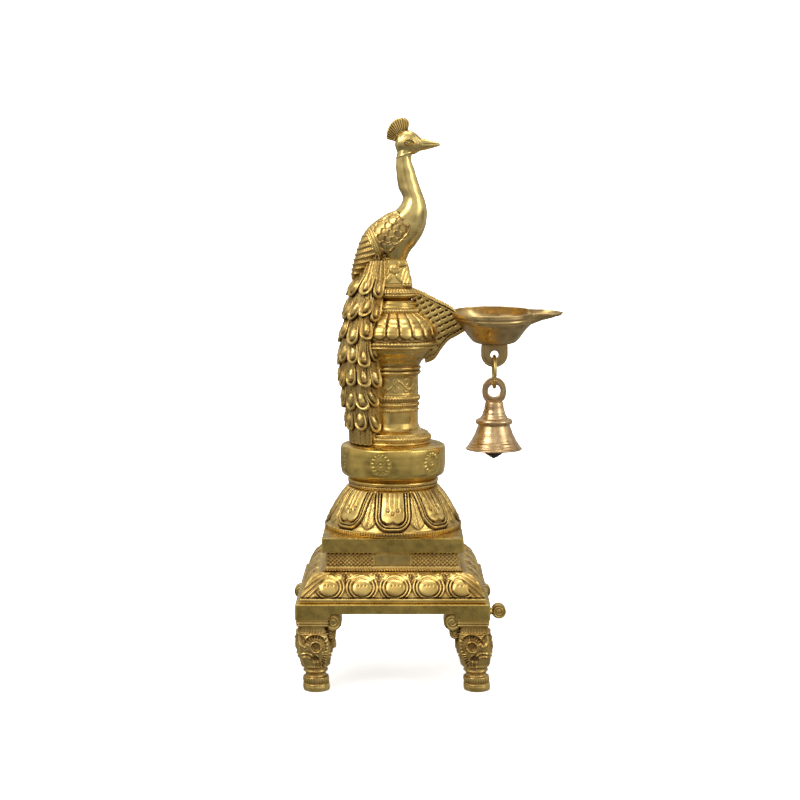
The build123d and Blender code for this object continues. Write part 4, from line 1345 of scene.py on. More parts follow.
@dataclass
class UpperTiers:
    """The petal dome with its scalloped tips, the bead collar and the notched disc."""

    petals: int = 21
    notches: int = 46
    pearls: int = 60

    def build(self) -> list[Piece]:
        """Build the three tiers."""
        return [self.dome(), self.bead_collar(), self.disc()]

    def dome(self) -> Piece:
        """The dome of rounded petals that hang over a plain rim.

        Returns:
            The dressed dome.
        """
        box = Extent.of("petal_dome")
        low, top = box.bottom, box.top
        profile = profile_of((10.0, low), (27.6, low, 0.0), (28.5, low + 0.5, 0.1), (28.8, low + 1.6, 0.1),
                             (28.2, low + 2.3, -0.05), (28.9, low + 3.1, 0.15), (28.6, low + 4.4, 0.15),
                             (27.9, low + 5.0, 0.0), (28.0, low + 8.8, 0.0), (27.6, low + 10.4, 0.1),
                             (24.7, low + 15.2, 0.6), (20.6, low + 19.4, 0.35), (16.4, top - 0.1, 0.1),
                             (10.0, top, 0.0), pitch=0.38)
        piece = turned("petal_dome_metal", profile, 546)

        def carving(points: Array) -> Array:
            """Rounded petals with pointed tips, small tips between them, and the rim's beads."""
            turn, radius = polar(points)
            rise = points[:, 2] - low
            spacing = TAU / self.petals
            across = np.abs(nearest(turn, spacing)) / (spacing / 2)
            second = np.abs(nearest(turn, spacing, spacing / 2)) / (spacing / 2)
            edge = 7.0 + 2.3 * across ** 2.2
            on_petal = soft_step(rise, edge, 0.45) * (1 - soft_step(rise, 22.3, 0.4))
            bulge = 1.25 * np.sqrt(np.clip(1 - across ** 3.6, 0, 1)) - 0.75 * groove(across - 1.0, 0.10)
            fade = 1.0 - 0.45 * soft_step(rise, 19.0, 6.0)
            tip_edge = 5.6 + 2.6 * second ** 1.2
            tips = soft_step(rise, tip_edge, 0.4) * (1 - on_petal) * (0.55 - 0.5 * second)
            dark = -0.75 * soft_step(rise, 5.1, 0.4) * (1 - soft_step(rise, 9.6, 0.5)) * (1 - on_petal)
            rim_beads = (1 - soft_step(np.abs(rise - 3.8), 0.9, 0.3)) * (0.16 * np.cos(turn * 84) - 0.08)
            return (radius > 14) * (on_petal * bulge * fade + tips + dark + rim_beads)

        emboss(piece, carving)
        return settle(piece, CARVED, "carved_brass", "lamp", "petal_dome")

    def bead_collar(self) -> Piece:
        """The sloped collar over its row of pearls.

        Returns:
            The dressed collar.
        """
        box = Extent.of("bead_collar")
        low, top, wide = box.bottom, box.top, box.half_width
        profile = profile_of((4.0, low), (wide - 1.1, low, 0.0), (wide - 0.35, low + 1.2, 0.35),
                             (wide - 1.0, low + 2.5, 0.3),
                             (wide - 1.5, low + 2.7, 0.0), (wide - 1.9, low + 4.0, 0.0),
                             (wide - 2.6, low + 6.2, -0.1),
                             (wide - 3.2, top - 0.9, 0.0), (wide - 3.9, top, 0.1), (4.0, top, 0.0),
                             pitch=0.36)
        piece = turned("bead_collar_metal", profile, 480)

        def pearls(points: Array) -> Array:
            """The row of pearls and a faint line above it."""
            turn, radius = polar(points)
            rise = points[:, 2] - low
            row = ((1 - soft_step(np.abs(rise - 1.25), 1.0, 0.4))
                   * (0.6 * np.abs(np.cos(turn * self.pearls / 2)) - 0.3))
            return (radius > 12) * (row - 0.3 * groove(rise - 2.9, 0.25) - 0.15 * groove(rise - 5.0, 0.3))

        emboss(piece, pearls)
        return settle(piece, CARVED, "carved_brass", "lamp", "bead_collar")

    def disc(self) -> Piece:
        """The rounded disc, notched all round.

        Returns:
            The dressed disc.
        """
        box = Extent.of("notched_disc")
        low, top, wide = box.bottom, box.top, box.half_width
        profile = profile_of((4.0, low), (11.6, low, 0.0), (12.4, low + 1.2, -0.1), (14.7, low + 1.8, 0.2),
                             (wide - 0.1, low + 4.0, 0.5), (wide - 0.5, low + 5.9, 0.4),
                             (13.6, low + 7.6, 0.3),
                             (12.2, low + 7.9, 0.0), (12.4, top, 0.1), (4.0, top, 0.0), pitch=0.36)
        piece = turned("notched_disc_metal", profile, 460)

        def notches(points: Array) -> Array:
            """Upright notches on the rounded side, deepest at its upper half."""
            turn, radius = polar(points)
            rise = points[:, 2] - low
            on_side = soft_step(rise, 2.4, 1.2) * (1 - soft_step(rise, 7.5, 0.6)) * (radius > 12.8)
            cut = groove(nearest(turn, TAU / self.notches) * 15.0, 0.33)
            return on_side * (-0.55 * cut * (0.4 + 0.6 * soft_step(rise, 4.2, 1.8))) - 0.2 * groove(rise
                                                                                                    - 4.0,
                                                                                                    0.3) * (
                radius > 14)

        emboss(piece, notches)
        return settle(piece, CARVED, "carved_brass", "lamp", "notched_disc")


# ---- The bird ----------------------------------------------------------------------------------------
@dataclass
class BirdPlinth:
    """The tapered block under the bird: a split boss over two leaves, ribs, and scallops behind."""

    shift: float = 1.5
    rows: int = 84

    def build(self) -> Piece:
        """Build the plinth.

        Returns:
            The dressed plinth.
        """
        box = Extent.of("bird_plinth")
        low, top = box.bottom, box.top
        half_low, half_top = 11.2, 7.5
        profile = [(0.0, low), (half_low - 0.5, low), (half_low, low + 0.4), (half_low - 0.1, low + 1.1)]
        profile += [(half_low - 0.3 + (half_top - half_low) * t ** 0.9, low + 1.1 + (top - low - 1.5) * t)
                    for t in (step / self.rows for step in range(1, self.rows + 1))]
        profile += [(half_top - 0.6, top), (0.0, top)]
        piece = square_tier("bird_plinth_metal", profile, 360, 9.0)

        def carving(points: Array) -> Array:
            """The ornament, the same on each side."""
            along, out = side_place(points)
            rise = points[:, 2] - low
            on_side = soft_step(rise, 1.2, 0.5) * (1 - soft_step(rise, 16.4, 0.5)) * (out > 5.0)
            boss_reach = np.hypot(along + 0.6, rise - 10.9)
            boss = 1.5 * ridge(boss_reach, 3.5) - 0.7 * groove(boss_reach - 3.7, 0.4)
            split = -0.7 * (groove(along + 0.6, 0.3) + 0.7 * groove(rise - 10.7, 0.25)) * (boss_reach < 3.2)
            left = np.abs((along + 3.9) * 0.62 + (rise - 5.4) * 0.78) / 3.6, np.abs(-(along + 3.9) * 0.78
                                                                                    + (rise - 5.4) * 0.62)
            right = np.abs((along - 2.7) * -0.62 + (rise - 5.4) * 0.78) / 3.6, np.abs((along - 2.7) * 0.78
                                                                                      + (rise - 5.4) * 0.62)
            leaves = np.zeros_like(along)
            for length, width in (left, right):
                reach = np.hypot(length, width / 1.75)
                leaves = np.maximum(leaves, 1.15 * ridge(reach, 1.0))
                leaves -= 0.5 * groove(reach - 1.12, 0.13)
            ribs = (soft_step(along, 3.8, 0.8) * (rise < 11.6)
                    * (0.42 * np.cos((along - 0.35 * rise) * TAU / 2.4) + 0.1))
            strap = 0.8 * ridge((rise - 13.5 - 0.2 * along) / 1.9, 1.0) * soft_step(along, 2.2, 0.8)
            strap_line = -0.5 * groove(rise - 11.4 - 0.2 * along, 0.35) * soft_step(along, 2.2, 0.8)
            fan = np.arctan2(rise - 4.0, along + 8.5)
            scallop = soft_step(-along, 4.2, 0.8) * (rise > 7.0) * (0.35 * np.cos(fan * 15) + 0.1)
            foot = -0.5 * groove(rise - 1.6, 0.3)
            work = np.maximum(boss + split, leaves) + ribs + strap + strap_line + scallop + foot
            return on_side * (0.55 * work - 0.1)

        emboss(piece, carving)
        points = read_points(piece.data)
        write_points(piece.data, points + np.array((self.shift, 0.0, 0.0)))
        return settle(piece, CARVED, "carved_brass", "lamp", "bird_plinth")


@dataclass
class Peacock:
    """The bird: smooth body and neck, head with beak and almond eye, fan crest and two folded wings."""

    shares: tuple[float, ...] = (0.0, 0.058, 0.115, 0.172, 0.263, 0.341, 0.419, 0.508, 0.62, 0.72, 0.785,
                                 0.83)
    backs: tuple[float, ...] = (-7.2, -12.6, -16.0, -15.6, -9.6, 0.8, 6.1, 3.4, 2.0, 2.1, 3.3, 4.4)
    breasts: tuple[float, ...] = (8.8, 11.2, 15.4, 18.6, 21.4, 21.8, 20.4, 17.4, 14.2, 11.8, 14.0, 14.6)
    halves: tuple[float, ...] = (6.8, 9.6, 11.3, 11.9, 11.4, 10.0, 8.2, 6.9, 5.9, 5.3, 5.1, 4.6)
    head_share: float = 0.815
    head_x: float = 10.0
    skull_knots: tuple[float, ...] = (-8.9, -7.8, -5.0, -1.5, 2.5, 5.4, 7.0, 9.5, 13.0, 17.0, 19.6, 20.4)
    skull_tops: tuple[float, ...] = (0.6, 4.6, 7.9, 9.3, 8.6, 6.6, 5.0, 4.1, 3.1, 2.0, 1.1, 0.6)
    skull_bottoms: tuple[float, ...] = (-0.3, -3.6, -5.9, -6.8, -6.4, -5.0, -4.0, -3.5, -2.6, -1.5, -0.6,
                                        -0.1)
    skull_widths: tuple[float, ...] = (0.2, 3.5, 5.6, 6.4, 6.0, 4.8, 3.7, 3.1, 2.5, 1.7, 0.9, 0.3)
    height: float = 89.5

    def build(self) -> list[Piece]:
        """Build the whole bird.

        Returns:
            The dressed pieces.
        """
        body = join_pieces("peacock_metal", [self.body(), self.head(), *self.eyes(), *self.thigh_leaves()])
        settle(body, SMOOTH_BIRD, "polished_brass", "lamp", "peacock_body")
        return [body, self.crest(), self.wing(1), self.wing(-1)]

    @property
    def base(self) -> float:
        """The height of the bird's feet."""
        return Extent.of("bird_plinth").top

    def flank(self, x: Array, z: Array) -> Array:
        """How far the body reaches out to the side.

        Args:
            x: Places along X.
            z: Heights.

        Returns:
            Half of the body's width there, 0 beyond it.
        """
        share = np.clip((z - self.base) / self.height, 0.0, self.shares[-1])
        back = through(self.shares, self.backs, share)
        breast = through(self.shares, self.breasts, share)
        reach = (x - (back + breast) / 2) / ((breast - back) / 2)
        return through(self.shares, self.halves, share) * np.sqrt(np.clip(1 - reach ** 2, 0.0, 1.0))

    def body(self) -> Piece:
        """The body and neck.

        Returns:
            One closed smooth shape.
        """

        def place(u: Array, v: Array) -> Array:
            """Points round each level section."""
            share = np.clip((v - 0.03) / 0.94, 0, 1) * self.shares[-1]
            cap = np.clip(v / 0.03, 0, 1) * np.clip((1 - v) / 0.03, 0, 1)
            back = through(self.shares, self.backs, share)
            breast = through(self.shares, self.breasts, share)
            half = through(self.shares, self.halves, share) * cap
            turn = TAU * u
            x = (back + breast) / 2 + (breast - back) / 2 * cap * np.cos(turn)
            return np.column_stack((x, half * np.sin(turn), self.base + share * self.height))

        def relief(u: Array, v: Array) -> Array:
            """The soft unevenness of a filed casting, and the line at the throat."""
            share = np.clip((v - 0.03) / 0.94, 0, 1) * self.shares[-1]
            uneven = 0.07 * np.sin(share * 61 + 3 * np.sin(TAU * u)) * np.sin(TAU * u * 2 + share * 17)
            return uneven - 0.35 * groove((share - 0.735 - 0.02 * np.cos(TAU * u)) * self.height, 0.45)

        return bent_sheet("bird_body", 96, 220, place, relief, flip=True)

    def head(self) -> Piece:
        """The head and the pointed beak.

        Returns:
            One closed smooth shape.
        """
        middle = self.base + self.head_share * self.height
        knots = self.skull_knots

        def place(u: Array, v: Array) -> Array:
            """Points round each upright section from the nape to the beak's tip."""
            x = knots[0] + (knots[-1] - knots[0]) * (0.5 - 0.5 * np.cos(np.pi * v)) * 0.5 + (
                knots[-1] - knots[0]) * v * 0.5
            upper = through(knots, self.skull_tops, x)
            lower = through(knots, self.skull_bottoms, x)
            width = through(knots, self.skull_widths, x)
            cap = np.clip(np.minimum(v, 1 - v) / 0.012, 0, 1)
            turn = TAU * u
            lift = np.sin(turn)
            z = (upper + lower) / 2 + (upper - lower) / 2 * cap * lift
            return np.column_stack((self.head_x + x, width * cap * np.cos(turn), middle - 0.8 + z))

        def relief(u: Array, v: Array) -> Array:
            """The root of the beak and the line of the mouth."""
            points = place(u, v)
            x = points[:, 0] - self.head_x
            z = points[:, 2] - middle
            mouth = -0.5 * groove(z + 0.5 - 0.03 * (x - 9), 0.3) * soft_step(x, 9.0, 2.0)
            root = -0.5 * groove(x - 6.5 + 0.10 * (z + 0.6) ** 2, 0.5)
            cheek = -0.35 * groove(np.hypot(x + 0.2, z + 0.8) - 5.2, 0.4) * (x > -3.0)
            return mouth + root + cheek

        return bent_sheet("bird_head", 80, 150, place, relief, flip=False)

    def cheek(self, x: Array, z: Array) -> Array:
        """How far the head reaches out to the side.

        Args:
            x: Places along X, from the middle of the head.
            z: Heights, from the middle of the head.

        Returns:
            Half of the head's width there.
        """
        upper = through(self.skull_knots, self.skull_tops, x)
        lower = through(self.skull_knots, self.skull_bottoms, x)
        rise = (z + 0.8 - (upper + lower) / 2) / ((upper - lower) / 2)
        return through(self.skull_knots, self.skull_widths, x) * np.sqrt(np.clip(1 - rise ** 2, 0.0, 1.0))

    def eyes(self) -> list[Piece]:
        """The almond eye of each side, as two raised rings round a bead.

        Returns:
            The two eyes.
        """
        middle = self.base + self.head_share * self.height
        made = []
        for side in (-1, 1):

            def place(u: Array, v: Array, side: int = side) -> Array:
                """A low almond dome laid on the head, closed behind."""
                reach = 1.0 - np.abs(2 * v - 1)
                front = v > 0.5
                turn = TAU * u
                along = 4.1 * reach * np.cos(turn)
                up = 2.9 * reach * np.sin(turn) * (1 - 0.32 * np.abs(np.cos(turn)))
                rings = (1.1 * ridge(reach - 0.86, 0.10) + 0.95 * ridge(reach - 0.52, 0.10)
                         + 1.0 * ridge(reach, 0.26))
                lift = np.where(front, 0.05 + rings, -1.0) * np.clip((1 - reach) / 0.02, 0, 1) - 0.15
                skin = self.cheek(0.2 + along, up) + lift
                return np.column_stack((self.head_x + 0.2 + along, side * skin, middle + up))

            made.append(bent_sheet("bird_eye", 40, 44, place))
        return made

    def thigh_leaves(self) -> list[Piece]:
        """The small feathers that show below each wing.

        Returns:
            The feathers.
        """
        made = []
        for side in (-1, 1):
            for x, z, tilt, size in ((-8.5, 271.0, -0.5, 1.0), (-4.6, 273.8, -0.2, 1.05),
                                     (-0.6, 274.6, 0.15, 0.95), (2.4, 277.2, 0.4, 0.85)):
                made.append(self.leaf(x, z, tilt, size, side))
        return made

    def leaf(self, x: float, z: float, tilt: float, size: float, side: int) -> Piece:
        """One small leaf feather on the thigh.

        Args:
            x: The middle along X.
            z: The height of its middle.
            tilt: Its turn in radians.
            size: Its size against a feather 7 mm long.
            side: Which side, -1 or 1.

        Returns:
            The leaf.
        """

        def place(u: Array, v: Array) -> Array:
            """A pointed lens with a vein."""
            length = 7.0 * size
            width = 2.5 * size * np.sin(np.pi * v) ** 0.7
            turn = TAU * u
            across = width * np.cos(turn)
            down = length * (v - 0.5)
            thick = np.where(np.sin(turn) > 0, 0.75, 2.5) * np.sin(turn) * np.sin(np.pi * v) ** 0.5
            vein = -0.3 * groove(across, 0.35) - 0.14 * np.abs(np.cos((down + np.abs(across)) * 3.2))
            lift = thick + np.where(np.sin(turn) > 0, vein * np.sin(np.pi * v), 0.0)
            px = x + across * math.cos(tilt) - down * math.sin(tilt)
            pz = z - across * math.sin(tilt) - down * math.cos(tilt)
            body = (12.0 * np.sqrt(np.clip(1 - ((px + 0.5) / 17.5) ** 2, 0.05, 1))
                    * np.clip(0.62 + (pz - 266.0) / 26.0, 0, 1))
            return np.column_stack((px, side * (body + lift), pz))

        return bent_sheet("thigh_leaf", 28, 24, place)

    def crest(self) -> Piece:
        """The ribbed fan crest.

        Returns:
            The dressed crest.
        """
        box = Extent.of("crest")
        root_x, root_z = 8.2, box.bottom - 1.2
        turns = (2.88, 2.5, 2.1, 1.75, 1.5, 1.40)
        reaches = (12.9, 15.0, 16.9, 17.2, 16.1, 14.0)

        def place(u: Array, v: Array) -> Array:
            """A flat fan, closed round its edge."""
            turn = turns[0] + (turns[-1] - turns[0]) * u
            reach = through([-t for t in turns], reaches, -turn)
            scallop = 0.35 * np.abs(np.cos((turn - turns[0]) * 31)) - 0.45
            side = np.where(v < 0.5, 1.0, -1.0)
            out = 1.0 - np.abs(2 * v - 1)
            inner = 1.2
            radius = inner + (reach + scallop - inner) * (1.0 - out)
            edge = np.clip(out / 0.05, 0, 1) ** 0.5 * np.clip(np.minimum(u, 1 - u) / 0.03, 0, 1) ** 0.5
            rib = 0.55 * np.abs(np.cos((turn - turns[0]) * 31)) * soft_step(radius, 6.6, 1.0)
            band = 0.25 * ridge(radius - 7.6, 0.8) - 0.2 * groove(radius - 8.8, 0.3)
            thick = (0.72 + rib + band) * edge
            bottom = np.clip((1 - out), 0, 1)
            thick = np.where(bottom < 0.001, 0.9 * np.clip(np.minimum(u, 1 - u) / 0.03, 0, 1) ** 0.5, thick)
            x = root_x + radius * np.cos(turn)
            z = root_z + radius * np.sin(turn)
            return np.column_stack((np.clip(x, box.low[0], box.high[0]), side * thick,
                                    np.minimum(z, box.top)))

        piece = self.double_fan(place)
        return settle(piece, CARVED, "carved_brass", "lamp", "crest")

    def double_fan(self, place: Surface) -> Piece:
        """Make the fan's two faces and close them at the root.

        Args:
            place: Points of the fan.

        Returns:
            The closed fan.
        """
        piece = bent_sheet("crest_metal", 240, 64, place)
        bm = bmesh.new()
        bm.from_mesh(piece.data)
        loose = [edge for edge in bm.edges if edge.is_boundary]
        bmesh.ops.holes_fill(bm, edges=loose, sides=0)
        bmesh.ops.recalc_face_normals(bm, faces=bm.faces)
        bm.to_mesh(piece.data)
        bm.free()
        return piece

    def wing(self, side: int) -> Piece:
        """One folded wing: rows of scales, a dotted band, and long quills.

        Args:
            side: Which side, -1 for the front and 1 for the back.

        Returns:
            The dressed wing.
        """
        node = "wing_left" if side > 0 else "wing_right"
        knots = (0.0, 0.12, 0.28, 0.42, 0.55, 0.72, 0.87, 1.0)
        upper_x = (8.6, 1.0, -8.6, -15.2, -19.2, -23.2, -25.4, -26.3)
        upper_z = (294.5, 297.1, 292.6, 287.4, 282.0, 271.7, 262.0, 253.4)
        lower_x = (9.8, 11.1, 10.6, 4.6, -1.6, -11.0, -19.6, -26.3)
        lower_z = (291.6, 287.5, 282.0, 275.4, 270.6, 263.8, 257.6, 253.4)

        def outline(v: Array) -> tuple[Array, Array, Array, Array]:
            """The wing's upper and lower edges at each place along it."""
            return (through(knots, upper_x, v), through(knots, upper_z, v), through(knots, lower_x, v),
                    through(knots, lower_z, v))

        body = self.flank

        def place(u: Array, v: Array) -> Array:
            """The outer face for the first part of u and the hidden inner face for the rest."""
            ux, uz, lx, lz = outline(v)
            outer = u < 0.75
            s = np.where(outer, u / 0.75, (1 - u) / 0.25)
            x = ux + (lx - ux) * s
            z = uz + (lz - uz) * s
            ends = np.sin(np.pi * np.clip(v, 0, 1)) ** 0.4
            dome = np.sin(np.pi * np.clip(0.06 + 0.90 * s, 0, 1)) ** 0.5
            skin = np.minimum(np.maximum(body(x, z) + 1.5, 12.9 * dome), 13.9)
            skin = np.where((s < 0.12) & (body(x, z) < 1.0), 12.6 * dome * (s / 0.12) ** 0.6 + 0.6, skin)
            hidden = np.maximum(np.minimum(body(x, z) - 0.9, skin - 1.6), 0.35)
            y = np.where(outer, skin, hidden + (skin - hidden)
                         * (1 - np.clip(np.minimum(s, 1 - s) / 0.06, 0, 1)))
            root = np.maximum(body(x, z) * 0.8, 1.2)
            y = root + (y - root) * ends
            return np.column_stack((x, side * np.clip(y, 0.25, 14.1), z))

        def relief(u: Array, v: Array) -> Array:
            """The feathers."""
            points = place(u, v)
            x, z = points[:, 0], points[:, 2]
            behind = -(x + 10.6) * 0.92 - (z - 279.0) * 0.39
            along = (x + 10.6) * 0.39 - (z - 279.0) * 0.92
            covered = scales(behind + 0.6, along, 3.7, 4.9, 1)
            for row in range(1, 7):
                newer = scales(behind + 0.6 + row * 3.7, along + (row % 2) * 2.45, 3.7, 4.9, 1)
                covered = np.where(newer > 0.02, newer, covered)
            front = 1 - soft_step(behind, -0.2, 0.5)
            band = 1 - soft_step(np.abs(behind - 2.0), 2.0, 0.3)
            lines = 0.32 * (ridge(behind - 0.6, 0.45) + ridge(behind - 3.4, 0.45))
            dots = 0.42 * beads(along, behind - 2.0, 1.25, 0.55)
            quill = nearest(along + 0.10 * (behind - 4.0) * along / 9.0, 3.1)
            shaft = 0.42 * ridge(quill, 1.2) - 0.6 * groove(np.abs(quill) - 1.45, 0.22)
            notch = 0.22 * np.cos(behind * TAU / 1.25) * groove(np.abs(quill) - 0.8, 0.4)
            rear = soft_step(behind, 4.2, 0.4)
            outer = (u < 0.745) * np.clip(np.minimum(u / 0.75, 1 - u / 0.75) / 0.04, 0, 1)
            ends = np.clip(np.minimum(v, 1 - v) / 0.04, 0, 1)
            work = (front * (1.45 * covered - 0.45) + band * (lines + dots - 0.25)
                    + rear * (shaft + notch - 0.15))
            border = -0.7 * groove(np.minimum(u / 0.75, 1 - u / 0.75) - 0.075, 0.022) * (u < 0.745)
            return outer * ends * (1.0 * work - 0.25) + border * ends

        piece = bent_sheet(f"{node}_metal", 210, 170, place, relief, flip=side > 0)
        return settle(piece, CARVED, "carved_brass", "lamp", node)


# ---- The train ---------------------------------------------------------------------------------------
@dataclass
class Train:
    """The train of eyed tail feathers, shingled down the back of the pillar."""

    pitch: float = 14.2
    first_tip: float = 243.5
    rows: int = 7
    width: float = 11.6
    length: float = 25.0
    half_angle: float = math.radians(62.0)
    bird_side: float = 8.4
    pillar_side: float = 15.4
    corner: float = 5.0
    heights: tuple[float, ...] = (149.4, 158.0, 170.0, 183.0, 199.0, 213.0, 226.0, 238.0, 249.0, 257.0, 266.5)
    radii: tuple[float, ...] = (30.2, 30.6, 32.4, 34.6, 35.6, 35.2, 33.6, 31.0, 28.4, 25.0, 20.4)

    def build(self) -> Piece:
        """Build the backing and every feather, as one piece.

        Returns:
            The dressed train.
        """
        pieces = [self.backing()]
        for row in range(self.rows):
            tip = self.first_tip - row * self.pitch
            pieces += [self.feather(place, tip + 1.8 * math.sin(place * 0.23 + row * 2.1))
                       for place in self.places(row)]
        piece = join_pieces("train_metal", pieces)
        return settle(piece, CARVED, "carved_brass", "lamp", "train")

    def places(self, row: int) -> list[float]:
        """Where the feathers of one row stand along the train's cross-section.

        Args:
            row: The row, from the top.

        Returns:
            Their distances along it from the -X direction, in millimetres.
        """
        height = self.first_tip - row * self.pitch
        reach = self.path_length(height) - 0.62 * self.width
        count = max(2, round(2 * reach / (self.width * 0.9))) + row % 2
        return [reach * (2 * step / (count - 1) - 1) * (1.0 - 0.05 * (row % 2)) for step in range(count)]

    def path_length(self, height: float) -> float:
        """Half of the length of the cross-section at a height, from the -X direction in to the pillar."""
        radius = float(through(self.heights, self.radii, np.array([height]))[0])
        arc = radius * self.half_angle - self.corner
        return arc + self.corner * math.pi / 2 + max(radius - self.corner - self.pillar_side, 0.0)

    def surface(self, along: Array, height: Array, lift: Array) -> Array:
        """Points on the train's outer form: round the back, over a soft corner, and in to the pillar.

        Args:
            along: Distance along the cross-section from the -X direction.
            height: Height above the floor.
            lift: Distance out from the form.

        Returns:
            The points.
        """
        radius = through(self.heights, self.radii, height)
        arc = radius * self.half_angle - self.corner
        edge = arc / radius
        far = np.abs(along)
        bend = np.clip((far - arc) / self.corner, 0.0, np.pi / 2)
        inward = np.maximum(far - arc - self.corner * np.pi / 2, 0.0)
        turn = np.minimum(far / radius, edge)
        out_x, out_y = -np.cos(turn), np.sin(turn)
        side_x, side_y = np.sin(turn), np.cos(turn)
        normal_x = out_x * np.cos(bend) + side_x * np.sin(bend)
        normal_y = out_y * np.cos(bend) + side_y * np.sin(bend)
        core = radius - self.corner - inward
        x = core * out_x + (self.corner + lift) * normal_x
        y = core * out_y + (self.corner + lift) * normal_y
        return np.column_stack((x, np.sign(along) * y, height))

    def backing(self) -> Piece:
        """The closed sheet that the feathers are cast on.

        Returns:
            The backing.
        """
        low, high = Extent.of("train").bottom + 0.3, Extent.of("train").top - 0.3

        def place(u: Array, v: Array) -> Array:
            """The outer face for the first part of u, the inner face for the rest."""
            outer = u <= 0.7
            across = np.where(outer, u / 0.7, (1 - u) / 0.3) * 2 - 1
            height = low + (high - low) * v
            radius = through(self.heights, self.radii, height)
            inner = self.pillar_side + (self.bird_side - self.pillar_side) * soft_step(height, 249.2, 0.8)
            length = (radius * self.half_angle + self.corner * (np.pi / 2 - 1)
                      + np.maximum(radius - self.corner - inner, 0))
            skin = self.surface(across * length, height, np.full_like(height, -1.9))
            turn = across * (self.half_angle + 0.12)
            core = np.column_stack((-inner * np.cos(turn), inner * np.sin(turn), height))
            share = np.clip(np.minimum(v, 1 - v) / 0.004, 0, 1) * np.clip((1 - np.abs(across)) / 0.05, 0, 1)
            return np.where(outer[:, None], skin, skin + (core - skin) * share[:, None])

        def veins(u: Array, v: Array) -> Array:
            """Fine barbs between the feathers."""
            across = (2 * u / 0.7 - 1) * 50.0
            height = low + (high - low) * v
            barbs = (0.3 * np.cos((height + 0.8 * np.abs(nearest(across, 5.0))) * 2.6)
                     - 0.5 * groove(nearest(across, 5.0), 0.5))
            return (u < 0.69) * (u > 0.01) * barbs

        return bent_sheet("train_backing", 200, 110, place, veins, flip=True)

    def feather(self, middle: float, tip: float) -> Piece:
        """One feather: a thick rim round a hollow with a hatched oval eye, its tip standing out.

        Args:
            middle: Where it stands along the cross-section.
            tip: The height of its tip.

        Returns:
            The feather.
        """
        lean = 0.16 * math.sin(middle * 0.31 + tip) + 0.002 * middle
        span = self.length * (1.0 + 0.06 * math.sin(tip * 1.7 + middle * 0.2))
        half = self.width / 2 * (1.0 + 0.05 * math.sin(tip * 0.9 + middle * 0.3))

        def place(u: Array, v: Array) -> Array:
            """A closed tongue: its front for the first half of u, its back for the second."""
            bow = TAU * u
            side = np.cos(bow)
            front = np.sin(bow) >= 0
            down = v * span
            to_tip = np.clip((span - down) / half, 0.0, 1.0)
            width = (half * np.sqrt(1.0 - (1.0 - to_tip) ** 2) * np.clip(v / 0.05, 0, 1)
                     * (0.78 + 0.22 * soft_step(v, 0.45, 0.7)))
            across = side * width
            from_tip = span - down
            edge = np.minimum(half * (0.78 + 0.22 * soft_step(v, 0.45, 0.7)) - np.abs(across),
                              np.where(from_tip < half, half - np.hypot(across, half - from_tip), half))
            rim = 1.25 * ridge(edge - 0.95, 0.95) - 0.8 * groove(edge - 2.3, 0.45)
            eye_reach = np.hypot(across / 2.25, (from_tip - 6.9) / 4.2)
            eye = 1.2 * ridge(eye_reach, 1.0) - 0.7 * groove(eye_reach - 1.14, 0.13)
            hatch = (0.26 * np.cos((across + from_tip) * 3.2) * np.cos((across - from_tip) * 3.2)
                     * (eye_reach < 0.85))
            quill = ((0.5 * ridge(across, 0.6) + 0.28 * np.cos((from_tip - 0.9 * np.abs(across)) * 2.9))
                     * (from_tip > 11.2))
            crown = 1.3 * np.sqrt(np.clip(1 - side ** 2, 0, 1))
            lift = np.where(front, crown + (rim + eye + hatch + quill) * np.clip(width / 1.5, 0, 1),
                            -1.4 * np.sqrt(
                np.clip(1 - side ** 2, 0, 1)))
            stand = -4.6 + 4.4 * v ** 1.3
            height = tip + from_tip
            return self.surface(middle + across + lean * (down - 0.7 * span), height,
                                np.minimum(lift + stand - 0.7, 0.6))

        return bent_sheet("train_feather", 36, 34, place)


